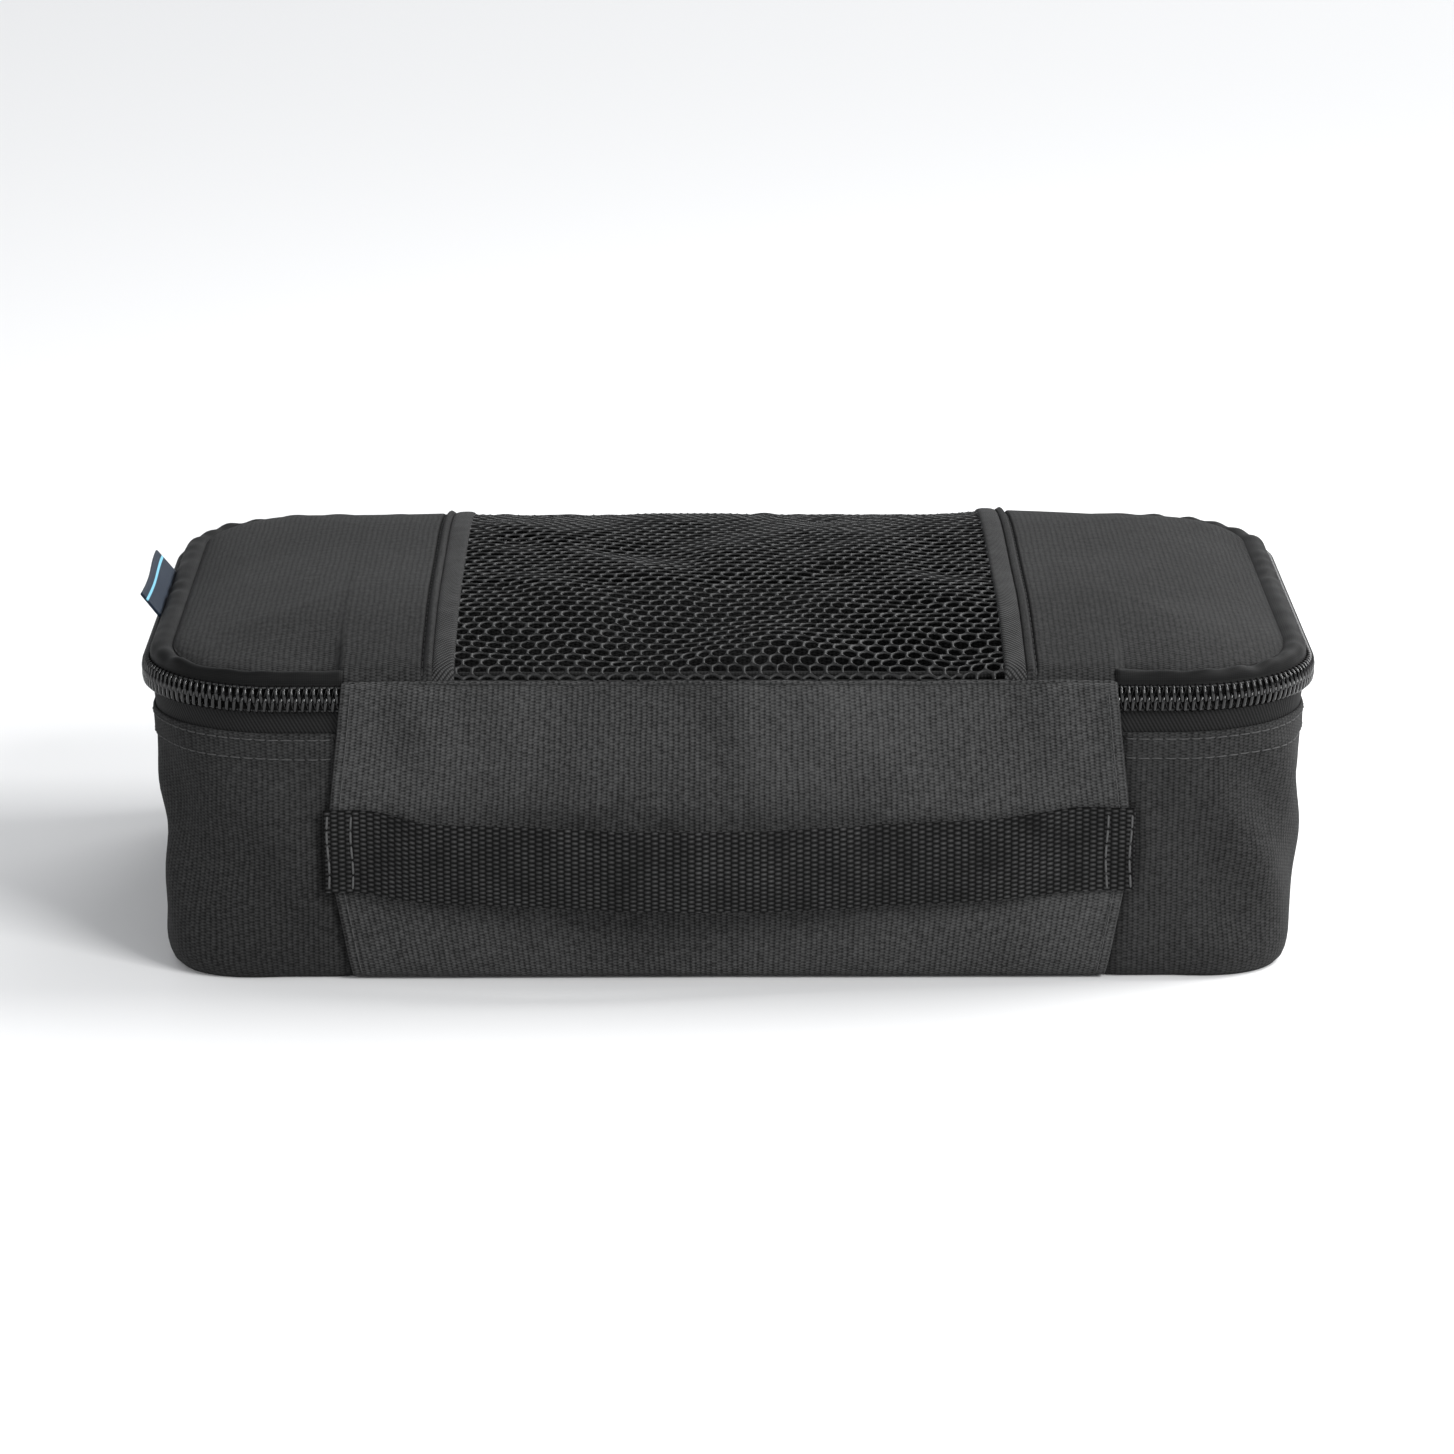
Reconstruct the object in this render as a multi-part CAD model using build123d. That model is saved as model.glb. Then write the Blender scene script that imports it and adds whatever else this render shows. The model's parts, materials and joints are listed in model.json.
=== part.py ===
from build123d import *
import os
from math import sqrt

# Packing cube: a zipped fabric box with a mesh lid window and a webbing handle.
# Millimetres, +Z up.  The origin is the middle of the flat base, on the surface the
# cube stands on.  The front, with the handle and the lid's fabric hinge, faces -Y.

# ---------------------------------------------------------------- driving dimensions
LENGTH = 280.0            # left to right, over the zip coil
DEPTH = 170.0             # front to back, over the zip coil
CORNER_RADIUS = 33.0      # plan radius of the wall at the zip
FABRIC = 1.0              # nylon cloth with its lining
WALL_TAPER = 3.0          # how far each wall leans in from zip to base
BASE_ROUND = 6.0          # how far the wall rolls under at the base

GUSSET_TOP = 61.5         # hemmed top edge of the side gusset
CHAIN_Z = 70.0            # middle of the closed zip
HINGE_Z = 74.0            # fabric hinge at the top of the front panel
LID_SEAM_Z = 76.5         # where the lid panels meet the upper zip tape
CREST_Z = 84.0            # highest point of the filled lid

# zip
TAPE = 0.6                # thickness of the woven tape
COIL_RISE = 2.2           # how far the coil stands out from the tape
COIL_WIDTH = 2.0          # each half of the coil
COIL_GAP = 2.0            # room between the halves, where the slider's post runs

# front
FRONT_HALF_TOP = 90.5     # half width of the front panel at the hinge
FRONT_HALF_MIDDLE = 95.0  # at the handle
FRONT_HALF_BASE = 89.0    # at the base
ZIP_END = 84.0            # the zip's ends lie under the front panel, this far from centre
COIL_END = 91.8           # where the coil comes out from under the front panel
JOINT_CLEARANCE = 0.2     # between the front panel and the lid's turned edge
FRONT_FOOT_Z = 0.3       # the front panel's lower edge is clear of the ground

# tape bound over the raw edges of the seams, inside
BINDING_TAPE = 3.0        # width at the base and the lid
BINDING_TAPE_THICK = 1.6
UPRIGHT_TAPE = 4.0        # width up the front's two seams
UPRIGHT_TAPE_THICK = 1.1
UPRIGHT_FOOT_Z = 11.0

# lid window
WINDOW_HALF = 65.0        # half width of the mesh that shows
BINDING_WIDTH = 6.0       # folded edging each side of the mesh

# blank label on the left side
LABEL_LENGTH = 46.0
LABEL_WIDTH = 7.5
LABEL_THICK = 0.9
LABEL_LEAN = 38.0         # degrees outward from upright
LABEL_Y = 3.0
LABEL_FOOT_Z = 74.4

# handle
STRAP_WIDTH = 20.0
STRAP_THICK = 1.3
STRAP_MIDDLE_Z = 33.0
STRAP_HALF_SPAN = 88.5    # from centre to the inner row of stitches
SEWN_END = 7.0            # flat sewn length at each end
SEWN_THICK = 1.6          # webbing pressed down by its stitching
STRAP_BOW = 12.0          # how far the slack webbing stands off the panel
STRAP_CROWN_X = -28.0     # where it stands off furthest
THREAD_WIDTH = 0.7
THREAD_THICK = 0.4

# sliders
SLIDER_LENGTH = 12.0
SLIDER_MOUTH = 9.4        # width at the end where the chain splits
SLIDER_TAIL = 7.0
SLIDER_X = 7.0            # centre of each slider from the middle of the back
PLATE = 1.1
PLATE_CLEARANCE = 0.35
PLATE_CORNER = 1.0
PLATE_WAIST = 1.0         # where the plates start to widen, from their middle
POST = 1.2                # wedge between the two halves of the coil
POST_LENGTH = 3.6
POST_FROM_MOUTH = 2.2     # middle of the post
CROWN_WIDTH = 2.2
CROWN_LENGTH = 8.0
CROWN_HEIGHT = 3.4
CROWN_TOP = 4.8           # length of its flat top
CROWN_SHOULDER = 2.2      # height where its ends start to slope
CROWN_SLOT = 4.0
PULL_PIN_RADIUS = 0.7
PIN_CLEARANCE = 0.3
PULL_LENGTH = 27.0
PULL_WIDTH = 6.4
PULL_THICK = 1.4
PULL_EYE = 5.6            # from the pin to the solid part of the pull
PULL_ARM = 1.5            # width of each arm beside the crown
PULL_ARM_OVERLAP = 2.0    # how far the arms run into the tab
PULL_ARM_CLEARANCE = 0.35
PULL_CORNER = 2.6
PULL_HOLE_RADIUS = 1.6
PULL_HOLE_FROM_END = 5.0
PULL_PIN_HEIGHT = COIL_RISE + PLATE_CLEARANCE + PLATE + PIN_CLEARANCE + PULL_PIN_RADIUS

WALL_X = LENGTH - 2 * COIL_RISE
WALL_Y = DEPTH - 2 * COIL_RISE
BACK_WALL = WALL_Y / 2
FRONT_WALL = -WALL_Y / 2
MANY = 400.0              # larger than the object, for cutting blocks

# The front panel leans back from the hinge down; the webbing lies on it at its top edge.
STRAP_TOP_Z = STRAP_MIDDLE_Z + STRAP_WIDTH / 2
STRAP_FOOT_Y = FRONT_WALL + WALL_TAPER * (1 - STRAP_TOP_Z / HINGE_Z) - FABRIC

# Levels of the filled shape: height, and how far the outline lies inside the zip line.
BODY_LEVELS = [
    (0.0, WALL_TAPER + BASE_ROUND),
    (1.2, WALL_TAPER + 0.45 * BASE_ROUND),
    (4.0, WALL_TAPER + 0.12 * BASE_ROUND),
    (9.0, WALL_TAPER * (1 - 9.0 / HINGE_Z)),
    (HINGE_Z, 0.0),
    (LID_SEAM_Z + 2.0, 0.0),
]
LID_LEVELS = [
    (LID_SEAM_Z, 0.4),
    (LID_SEAM_Z + 3.2, 5.0),
    (LID_SEAM_Z + 5.6, 17.0),
    (CREST_Z - 0.5, 38.0),
    (CREST_Z, 58.0),
]


# ---------------------------------------------------------------- helpers
def outline(inset, z):
    """Rounded rectangle, inset from the zip line, at height z."""
    radius = max(CORNER_RADIUS - inset, 4.0)
    face = RectangleRounded(WALL_X - 2 * inset, WALL_Y - 2 * inset, radius)
    return Pos(0, 0, z) * face


def filled(levels, outward=0.0, lift=0.0):
    """Solid through the levels, grown outward and lifted."""
    return loft([outline(inset - outward, z + lift) for z, inset in levels], ruled=True)


def block(x0, x1, y0, y1, z0, z1):
    size = Box(x1 - x0, y1 - y0, z1 - z0)
    return Pos((x0 + x1) / 2, (y0 + y1) / 2, (z0 + z1) / 2) * size


def wall(outer, inner, z0, z1):
    """Slice of wall between two offsets from the wall surface."""
    slab = block(-MANY, MANY, -MANY, MANY, z0, z1)
    return (filled(BODY_LEVELS, outer) - filled(BODY_LEVELS, inner)) & slab


def front_middle(half_width):
    """Block over the middle of the front wall."""
    return block(-half_width, half_width, -MANY, FRONT_WALL + 20, -10, MANY)


def save(name, shape):
    shape.label = name
    export_step(shape, f"parts/{name}.step")


# ---------------------------------------------------------------- body of the cube
def base_panel():
    return extrude(outline(BODY_LEVELS[0][1], 0), FABRIC)


def side_gusset():
    """One strip round the left, back and right walls, and a little of the front."""
    outer = filled(BODY_LEVELS)
    inner = filled(BODY_LEVELS, -FABRIC, FABRIC)
    below_zip = block(-MANY, MANY, -MANY, MANY, 0, GUSSET_TOP)
    return (outer - inner - base_panel() - front_middle(ZIP_END)) & below_zip


def front_panel():
    """Panel over the gusset's two ends; the lid hinges on its top edge."""
    top = HINGE_Z - JOINT_CLEARANCE
    corners = [
        (-FRONT_HALF_TOP, top),
        (-FRONT_HALF_MIDDLE, STRAP_MIDDLE_Z),
        (-FRONT_HALF_BASE, FRONT_FOOT_Z),
        (FRONT_HALF_BASE, FRONT_FOOT_Z),
        (FRONT_HALF_MIDDLE, STRAP_MIDDLE_Z),
        (FRONT_HALF_TOP, top),
    ]
    shape = Plane.XZ * make_face(Polyline(*corners, close=True))
    cutter = extrude(shape, MANY)
    return (filled(BODY_LEVELS, FABRIC) - filled(BODY_LEVELS)) & cutter


def base_seam_binding():
    """Narrow tape bound over the raw edges of the base seam, inside."""
    inset = BODY_LEVELS[0][1] + 1.6
    ring = outline(inset, FABRIC) - outline(inset + BINDING_TAPE, FABRIC)
    return extrude(ring, BINDING_TAPE_THICK)


def lower_zip_tape():
    band = wall(0.0, -TAPE, GUSSET_TOP, CHAIN_Z - COIL_GAP / 2)
    return band - front_middle(ZIP_END)


def lower_zip_coil():
    top = CHAIN_Z - COIL_GAP / 2
    return wall(COIL_RISE, 0.0, top - COIL_WIDTH, top) - front_middle(COIL_END)


def front_seam_binding(side):
    """Narrow tape over the raw edges where gusset and front panel join, inside."""
    face = -FABRIC - 0.1
    band = wall(face, face - UPRIGHT_TAPE_THICK, UPRIGHT_FOOT_Z, GUSSET_TOP)
    start = ZIP_END + 1.0
    x0, x1 = sorted((side * start, side * (start + UPRIGHT_TAPE)))
    return band & block(x0, x1, -MANY, 0, 0, MANY)


# ---------------------------------------------------------------- handle
def handle_end(side):
    """Flat sewn end of the webbing, folded under once."""
    x0, x1 = sorted((side * STRAP_HALF_SPAN, side * (STRAP_HALF_SPAN + SEWN_END)))
    half = STRAP_WIDTH / 2
    face = STRAP_FOOT_Y - SEWN_THICK
    slab = block(x0, x1, face, face + 5, STRAP_MIDDLE_Z - half, STRAP_MIDDLE_Z + half)
    return slab - filled(BODY_LEVELS, FABRIC)


def handle_stitching():
    """Two rows of thread at each end of the webbing, four rows in all."""
    face = STRAP_FOOT_Y - SEWN_THICK
    rows = []
    for side in (-1, 1):
        for step in (1.0, SEWN_END - 1.0):
            x = side * (STRAP_HALF_SPAN + step)
            thread = Box(THREAD_WIDTH, THREAD_THICK, STRAP_WIDTH - 2.0)
            rows.append(Pos(x, face - THREAD_THICK / 2, STRAP_MIDDLE_Z) * thread)
    return Compound(rows)


def bow_arc(reach, offset):
    """Arc of the slack webbing from its crown to one end, in plan."""
    radius = (reach ** 2 + STRAP_BOW ** 2) / (2 * STRAP_BOW)
    away = radius + offset

    def point(x):
        return (STRAP_CROWN_X + x, -(sqrt(away ** 2 - x ** 2) - radius + STRAP_BOW))

    return point(0), point(reach / 2), point(reach)


def handle_strap():
    """Slack length of webbing that a hand goes behind."""
    half = STRAP_THICK / 2
    left = -STRAP_HALF_SPAN - STRAP_CROWN_X
    right = STRAP_HALF_SPAN - STRAP_CROWN_X
    arcs = [ThreePointArc(*bow_arc(reach, off)) for reach in (left, right) for off in (-half, half)]
    ends = [Line(arcs[i] @ 1, arcs[i + 1] @ 1) for i in (0, 2)]
    plan = make_face(arcs + ends)
    y = STRAP_FOOT_Y - half - 0.05
    return Pos(0, y, STRAP_MIDDLE_Z - STRAP_WIDTH / 2) * extrude(plan, STRAP_WIDTH)


# ---------------------------------------------------------------- lid
def lid_skin(lift=0.0):
    """Filled top of the lid, one fabric thick, with its turned edge at the hinge."""
    dome = filled(LID_LEVELS, 0, lift) - filled(LID_LEVELS, 0, lift - FABRIC)
    dome &= block(-MANY, MANY, -MANY, MANY, LID_SEAM_Z, MANY)
    if lift:
        return dome
    edge = wall(0.0, -FABRIC, HINGE_Z + JOINT_CLEARANCE, LID_SEAM_Z + 0.5)
    return dome + (edge & front_middle(ZIP_END - 0.2))


def lid_panel(skin, side):
    inner = side * (WINDOW_HALF + BINDING_WIDTH / 2)
    x0, x1 = sorted((inner, side * MANY))
    return skin & block(x0, x1, -MANY, MANY, 0, MANY)


def mesh_window(skin):
    half = WINDOW_HALF + BINDING_WIDTH / 2
    return skin & block(-half, half, -MANY, MANY, 0, MANY)


def window_binding(skin, side):
    """Folded edging sewn over the join of mesh and panel."""
    x0, x1 = sorted((side * WINDOW_HALF, side * (WINDOW_HALF + BINDING_WIDTH)))
    return skin & block(x0, x1, -MANY, MANY, 0, MANY)


def upper_zip_tape():
    band = wall(0.0, -TAPE, CHAIN_Z + COIL_GAP / 2, LID_SEAM_Z)
    return band - front_middle(ZIP_END)


def upper_zip_coil():
    low = CHAIN_Z + COIL_GAP / 2
    return wall(COIL_RISE, 0.0, low, low + COIL_WIDTH) - front_middle(COIL_END)


def lid_seam_binding():
    """Narrow tape bound over the raw edges of the lid seam, inside."""
    inset, foot = 2.2, LID_SEAM_Z - BINDING_TAPE_THICK
    ring = outline(inset, foot) - outline(inset + BINDING_TAPE, foot)
    return extrude(ring, BINDING_TAPE_THICK - 0.1)


def side_label():
    """Blank folded tab sewn on the lid's zip tape, left side, standing out and up."""
    lean = Rot(0, -LABEL_LEAN, 0)
    tab = lean * Pos(0, 0, LABEL_WIDTH / 2) * Box(LABEL_THICK, LABEL_LENGTH, LABEL_WIDTH)
    tab = fillet(tab.edges().filter_by(Axis.Y), LABEL_THICK / 3)
    return Pos(-WALL_X / 2 - 0.6, LABEL_Y, LABEL_FOOT_Z) * tab


# ---------------------------------------------------------------- sliders and pulls
def slider(side):
    """Cast slider on the back run: two plates, the post between them, and the crown."""
    half = SLIDER_LENGTH / 2
    mouth, tail = SLIDER_MOUTH / 2, SLIDER_TAIL / 2
    corners = [
        (-half, tail),
        (PLATE_WAIST, tail),
        (half, mouth),
        (half, -mouth),
        (PLATE_WAIST, -tail),
        (-half, -tail),
    ]
    plate = extrude(make_face(Polyline(*corners, close=True)), PLATE)
    plate = fillet(plate.edges().filter_by(Axis.Z), PLATE_CORNER)
    inner_face = -TAPE - PLATE_CLEARANCE - PLATE
    outer_face = COIL_RISE + PLATE_CLEARANCE
    post_height = outer_face - inner_face
    post = Box(POST_LENGTH, POST, post_height)
    post = Pos(half - POST_FROM_MOUTH, 0, inner_face + post_height / 2) * post
    body = Pos(0, 0, inner_face) * plate + Pos(0, 0, outer_face) * plate + post
    body += Pos(0, 0, outer_face + PLATE) * crown()
    return place_on_back(body, side)


def crown():
    """Arch over the pull's pin."""
    half, top = CROWN_LENGTH / 2, CROWN_TOP / 2
    side_view = [
        (-half, 0),
        (-half, CROWN_SHOULDER),
        (-top, CROWN_HEIGHT),
        (top, CROWN_HEIGHT),
        (half, CROWN_SHOULDER),
        (half, 0),
    ]
    arch = extrude(Plane.XZ * make_face(Polyline(*side_view, close=True)), CROWN_WIDTH / 2, both=True)
    reach = PULL_PIN_RADIUS + PIN_CLEARANCE
    return arch - Pos(0, 0, reach) * Box(CROWN_SLOT, 2 * CROWN_WIDTH, 2 * reach)


def pull(side):
    """Flat pull: a pin through the crown, two arms and a tapering tab with a hole."""
    pin_width = CROWN_WIDTH + 2 * PULL_ARM_CLEARANCE + 2 * PULL_ARM
    tab_start, tab_end = -PULL_EYE, -PULL_LENGTH
    outer = RectangleRounded(tab_start - tab_end, PULL_WIDTH, PULL_CORNER)
    tab = extrude(Pos((tab_start + tab_end) / 2, 0, -PULL_THICK / 2) * outer, PULL_THICK)
    hole = Pos(tab_end + PULL_HOLE_FROM_END, 0, 0) * Cylinder(PULL_HOLE_RADIUS, 2 * PULL_THICK)
    body = tab - hole
    arm_length = PULL_EYE + PULL_ARM_OVERLAP
    arm = Pos(-arm_length / 2, 0, 0) * Box(arm_length, PULL_ARM, PULL_THICK)
    knuckle = Rot(90, 0, 0) * Cylinder(PULL_PIN_RADIUS, PULL_ARM)
    for y in (-1, 1):
        body += Pos(0, y * (pin_width - PULL_ARM) / 2, 0) * (arm + knuckle)
    body += Rot(90, 0, 0) * Cylinder(PULL_PIN_RADIUS, pin_width)
    return place_on_back(Pos(0, 0, PULL_PIN_HEIGHT) * body, side)


def place_on_back(shape, side):
    """Turn a slider-frame shape, x towards its mouth and z outward, onto the back wall."""
    facing = shape if side < 0 else mirror(shape, Plane.YZ)
    upright = Plane(origin=(side * SLIDER_X, BACK_WALL, CHAIN_Z), x_dir=(1, 0, 0), z_dir=(0, 1, 0))
    return upright * facing


# ---------------------------------------------------------------- write every sub-part
def main():
    os.makedirs("parts", exist_ok=True)
    save("base_panel", base_panel())
    save("side_gusset", side_gusset())
    save("front_panel", front_panel())
    save("base_seam_binding", base_seam_binding())
    save("lower_zip_tape", lower_zip_tape())
    save("lower_zip_coil", lower_zip_coil())
    save("side_label", side_label())
    save("handle_strap", handle_strap())
    save("handle_stitching", handle_stitching())
    save("upper_zip_tape", upper_zip_tape())
    save("upper_zip_coil", upper_zip_coil())
    save("lid_seam_binding", lid_seam_binding())
    skin, raised = lid_skin(), lid_skin(FABRIC)
    save("mesh_window", mesh_window(skin))
    for name, side in (("left", -1), ("right", 1)):
        save(f"front_seam_binding_{name}", front_seam_binding(side))
        save(f"handle_end_{name}", handle_end(side))
        save(f"lid_{name}_panel", lid_panel(skin, side))
        save(f"window_binding_{name}", window_binding(raised, side))
        save(f"{name}_slider", slider(side))
        save(f"{name}_pull", pull(side))


main()
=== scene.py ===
import bmesh
import bpy
import json
import numpy as np
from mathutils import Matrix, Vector
from mathutils.bvhtree import BVHTree
from math import pi, radians, sqrt


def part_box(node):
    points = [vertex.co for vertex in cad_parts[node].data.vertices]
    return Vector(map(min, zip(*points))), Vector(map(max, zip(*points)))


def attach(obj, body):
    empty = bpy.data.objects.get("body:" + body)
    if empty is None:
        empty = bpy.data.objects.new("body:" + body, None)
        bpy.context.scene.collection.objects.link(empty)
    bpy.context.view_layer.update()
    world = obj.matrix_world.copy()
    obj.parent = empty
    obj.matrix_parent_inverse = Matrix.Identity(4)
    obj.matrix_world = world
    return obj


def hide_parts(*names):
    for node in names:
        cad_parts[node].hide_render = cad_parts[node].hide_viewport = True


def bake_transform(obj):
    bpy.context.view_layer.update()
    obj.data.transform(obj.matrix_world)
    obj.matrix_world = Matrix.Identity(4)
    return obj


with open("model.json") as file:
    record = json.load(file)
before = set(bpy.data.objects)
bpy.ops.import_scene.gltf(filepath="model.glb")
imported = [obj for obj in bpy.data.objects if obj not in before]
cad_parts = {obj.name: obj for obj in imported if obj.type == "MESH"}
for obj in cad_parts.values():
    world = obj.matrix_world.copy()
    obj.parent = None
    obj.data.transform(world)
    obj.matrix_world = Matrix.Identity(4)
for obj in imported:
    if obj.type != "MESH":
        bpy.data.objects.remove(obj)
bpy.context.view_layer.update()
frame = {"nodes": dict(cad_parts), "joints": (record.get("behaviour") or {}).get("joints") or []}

MM = 0.001


# ---------------------------------------------------------------- places, from the frame
def low(node):
    return np.array(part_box(node)[0])


def high(node):
    return np.array(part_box(node)[1])


JOINTS = {joint["name"]: joint for joint in frame["joints"]}
WALL_X, WALL_Y = high("upper_zip_tape")[:2]
GUSSET_TOP = high("side_gusset")[2]
CHAIN_Z = (high("lower_zip_coil")[2] + low("upper_zip_coil")[2]) / 2
LID_SEAM_Z = high("upper_zip_tape")[2]
LID_RISE = high("lid_left_panel")[2] - LID_SEAM_Z
HINGE_Y, HINGE_Z = JOINTS["lid_hinge"]["pos_m"][1:]
FRONT_HALF = high("front_panel")[0]
WINDOW_HALF = low("window_binding_right")[0]
BINDING_END = high("window_binding_right")[0]
STRAP_LOW, STRAP_HIGH = low("handle_strap"), high("handle_strap")
STRAP_SPAN = STRAP_HIGH[0]
SEWN_SPAN = high("handle_end_right")[0]
STRAP_BOW = high("handle_end_left")[1] - STRAP_LOW[1] - 3.6 * MM

# Sizes of the cloth itself, as the frame was built.
CORNER = 33 * MM  # radius of the zip line's corners, seen from above
TAPER = 3 * MM  # how far the walls lean in, from the hinge's height to the base
BASE_ROLL, ROLL_HEIGHT = 4 * MM, 8 * MM  # the wall's roll into the base, across and up
CORNER_OUT = 4.5 * MM  # how far the base's corners stand out to be squarer
CORE_HALF = 55 * MM  # half the line along the middle of the base, where its rings end
CROWN_REACH = 64 * MM  # how far in from its edge the filled lid still rises
TAPE_INSET = 5.4 * MM  # from the zip line in to the seam of lid and zip tape
HINGE_END, HINGE_FULL = 92.6 * MM, 90.2 * MM  # where the lid's edge goes over to the hinge
FRONT_START, FRONT_FULL = 50 * MM, 78 * MM  # where the lid's edge starts to run as at the front
PANEL_TOP_HALF, PANEL_BASE_HALF = 90.5 * MM, 89 * MM  # half widths of the front panel
ZIP_START = 87 * MM  # from the middle of the front to where gusset and zip tape start
FRONT_EDGE = 90.4 * MM  # the same for the coil and the rim band
STRAP_CROWN_X = -28 * MM  # where the slack webbing stands out furthest
HEM, HEM_STEP = 7 * MM, 0.45 * MM  # height of the gusset's hem, and how far it stands out
TURN_UNDER = 2.5 * MM  # cloth turned under at the base
TOOTH_PITCH = 1.75 * MM
NET_CELL = 3.8 * MM
RIB = 1.3 * MM  # pitch of the cloth's ribs
HEM_THREAD, EDGE_THREAD = 0.17 * MM, 0.16 * MM  # radius of the thread

# How thick each cloth is.
WALL_CLOTH, FRONT_CLOTH, LID_CLOTH = 0.8 * MM, 0.7 * MM, 0.6 * MM
EDGING_CLOTH, TAPE_CLOTH, WEBBING_CLOTH, LABEL_CLOTH = 0.5 * MM, 0.5 * MM, 1.25 * MM, 0.28 * MM

# How slack and how filled the cloth is when it settles.
LID_SLACK, LID_PRESSURE = 0.05, 0.6
WALL_SLACK, WALL_PRESSURE = 0.03, 1.0

LID_ROWS = 110  # rows of points from the lid's front to its back
FORWARD = (0.0, -1.0, 0.0)
LID_UP = (0.0, -0.05, 1.0)


# ---------------------------------------------------------------- shape of the cube
def smooth(edge0, edge1, value):
    t = np.clip((value - edge0) / (edge1 - edge0), 0, 1)
    return t * t * (3 - 2 * t)


def ripple(points, size, seed, waves=14):
    """Smooth waves that don't repeat, about one unit high and size long."""
    rng = np.random.default_rng(seed)
    k = rng.normal(size=(waves, 3))
    k *= (2 * pi / size / np.linalg.norm(k, axis=1) * rng.uniform(0.6, 1.5, waves))[:, None]
    return np.sin(points @ k.T + rng.uniform(0, 2 * pi, waves)).sum(-1) / sqrt(waves / 2)


def joined(*parts):
    """Arrays that broadcast, as one array of points or pairs."""
    return np.stack(np.broadcast_arrays(*parts), -1)


def ripple_along(s, size, seed):
    """The same waves along a line."""
    return ripple(joined(s, 0.0, 0.0), size, seed)


def running(path):
    """Length along a path at each of its points."""
    return np.concatenate([[0], np.cumsum(np.linalg.norm(np.diff(path, axis=0), axis=1))])


def rim_table():
    """The zip line from the middle of the front, going right: length, place and normal."""
    a, b = WALL_X - CORNER, WALL_Y - CORNER
    rows = [(0, -WALL_Y, 0, -1)]
    for cx, cy, start in ((a, -b, -90), (a, b, 0), (-a, b, 90), (-a, -b, 180)):
        for angle in np.radians(np.linspace(start, start + 90, 49)):
            nx, ny = np.cos(angle), np.sin(angle)
            rows.append((cx + CORNER * nx, cy + CORNER * ny, nx, ny))
    rows = np.array(rows + [(0, -WALL_Y, 0, -1)])
    return running(rows[:, :2]), rows


RIM_S, RIM_ROWS = rim_table()
RIM_LENGTH = RIM_S[-1]


def rim(s):
    """Place and outward normal at length s along the zip line."""
    place = [np.interp(s, RIM_S, RIM_ROWS[:, i]) for i in range(4)]
    return np.stack(place[:2], -1), np.stack(place[2:], -1)


def rim_normal(s):
    """Outward normal along the zip line, level."""
    normal = rim(s)[1]
    return joined(normal[..., 0], normal[..., 1], 0.0)


def on_rim(s, outward, z):
    """Points outward from the zip line at heights z; s, outward and z broadcast."""
    s, outward, z = np.broadcast_arrays(s, outward, z)
    place, normal = rim(s)
    return np.concatenate([place + normal * outward[..., None], z[..., None]], -1)


def lean(z):
    """How far the wall lies inside the zip line at a height."""
    under = np.clip(1 - z / ROLL_HEIGHT, 0, 1)
    return TAPER * (1 - z / HINGE_Z) + BASE_ROLL * (1 - np.sqrt(1 - under ** 2))


def square(normal, z):
    """How far the wall's corners stand out low down, cut squarer than the zip line."""
    corner = 2 * np.abs(normal[..., 0] * normal[..., 1])
    return CORNER_OUT * corner ** 1.5 * np.clip(1 - z / GUSSET_TOP, 0, 1) ** 1.2


def frontness(y):
    """0 over most of the cube, 1 at its front."""
    return smooth(FRONT_START, FRONT_FULL, -y)


def hinge_share(x, y):
    """1 where the lid runs down to the fabric hinge, 0 where it ends at the zip tape."""
    return smooth(HINGE_END, HINGE_FULL, np.abs(x)) * frontness(y)


def tape_inset(x, y):
    """How far the seam of lid and zip tape lies inside the zip line."""
    towards_hinge = smooth(108 * MM, 92 * MM, np.abs(x))
    return TAPE_INSET + (-2.6 + 1.9 * towards_hinge) * MM * frontness(y)


def seam_inset(x, y):
    """How far the lid's edge lies inside the zip line."""
    plain = tape_inset(x, y)
    at_hinge = HINGE_Y + WALL_Y + 0.7 * MM
    return plain + (at_hinge - plain) * hinge_share(x, y)


def seam_height(y):
    return LID_SEAM_Z - 0.9 * MM * frontness(y)


def inside(x, y):
    """Distance inside the zip line."""
    qx = np.abs(x) - (WALL_X - CORNER)
    qy = np.abs(y) - (WALL_Y - CORNER)
    outer = np.hypot(np.maximum(qx, 0), np.maximum(qy, 0))
    return CORNER - outer - np.minimum(np.maximum(qx, qy), 0)


def lid_height(x, y):
    """Height of the filled lid."""
    depth = np.maximum(inside(x, y) - seam_inset(x, y), 0)
    z = seam_height(y) + LID_RISE * (1 - (1 - np.minimum(depth / CROWN_REACH, 1)) ** 2.6)
    z = z + 0.7 * MM * (1 - np.exp(-depth / (1.2 * MM)))
    drop = seam_height(y) - HINGE_Z - 0.1 * MM
    z = z - hinge_share(x, y) * drop * np.exp(-depth / (2.4 * MM))
    flat = joined(x, y, 0.0)
    soft = smooth(0, 12 * MM, depth)
    z = z + soft * 0.35 * MM * ripple(flat, 60 * MM, 3)
    window = smooth(WINDOW_HALF + 4 * MM, WINDOW_HALF - 16 * MM, np.abs(x))
    fold = np.sin((0.45 * x - 0.9 * y) / (11 * MM) + 0.9 + 0.8 * np.sin(x / (31 * MM)))
    lumps = 0.75 * MM * fold + 0.3 * MM * ripple(flat, 30 * MM, 8)
    return z + window * soft * (lumps - 0.9 * MM)


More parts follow.
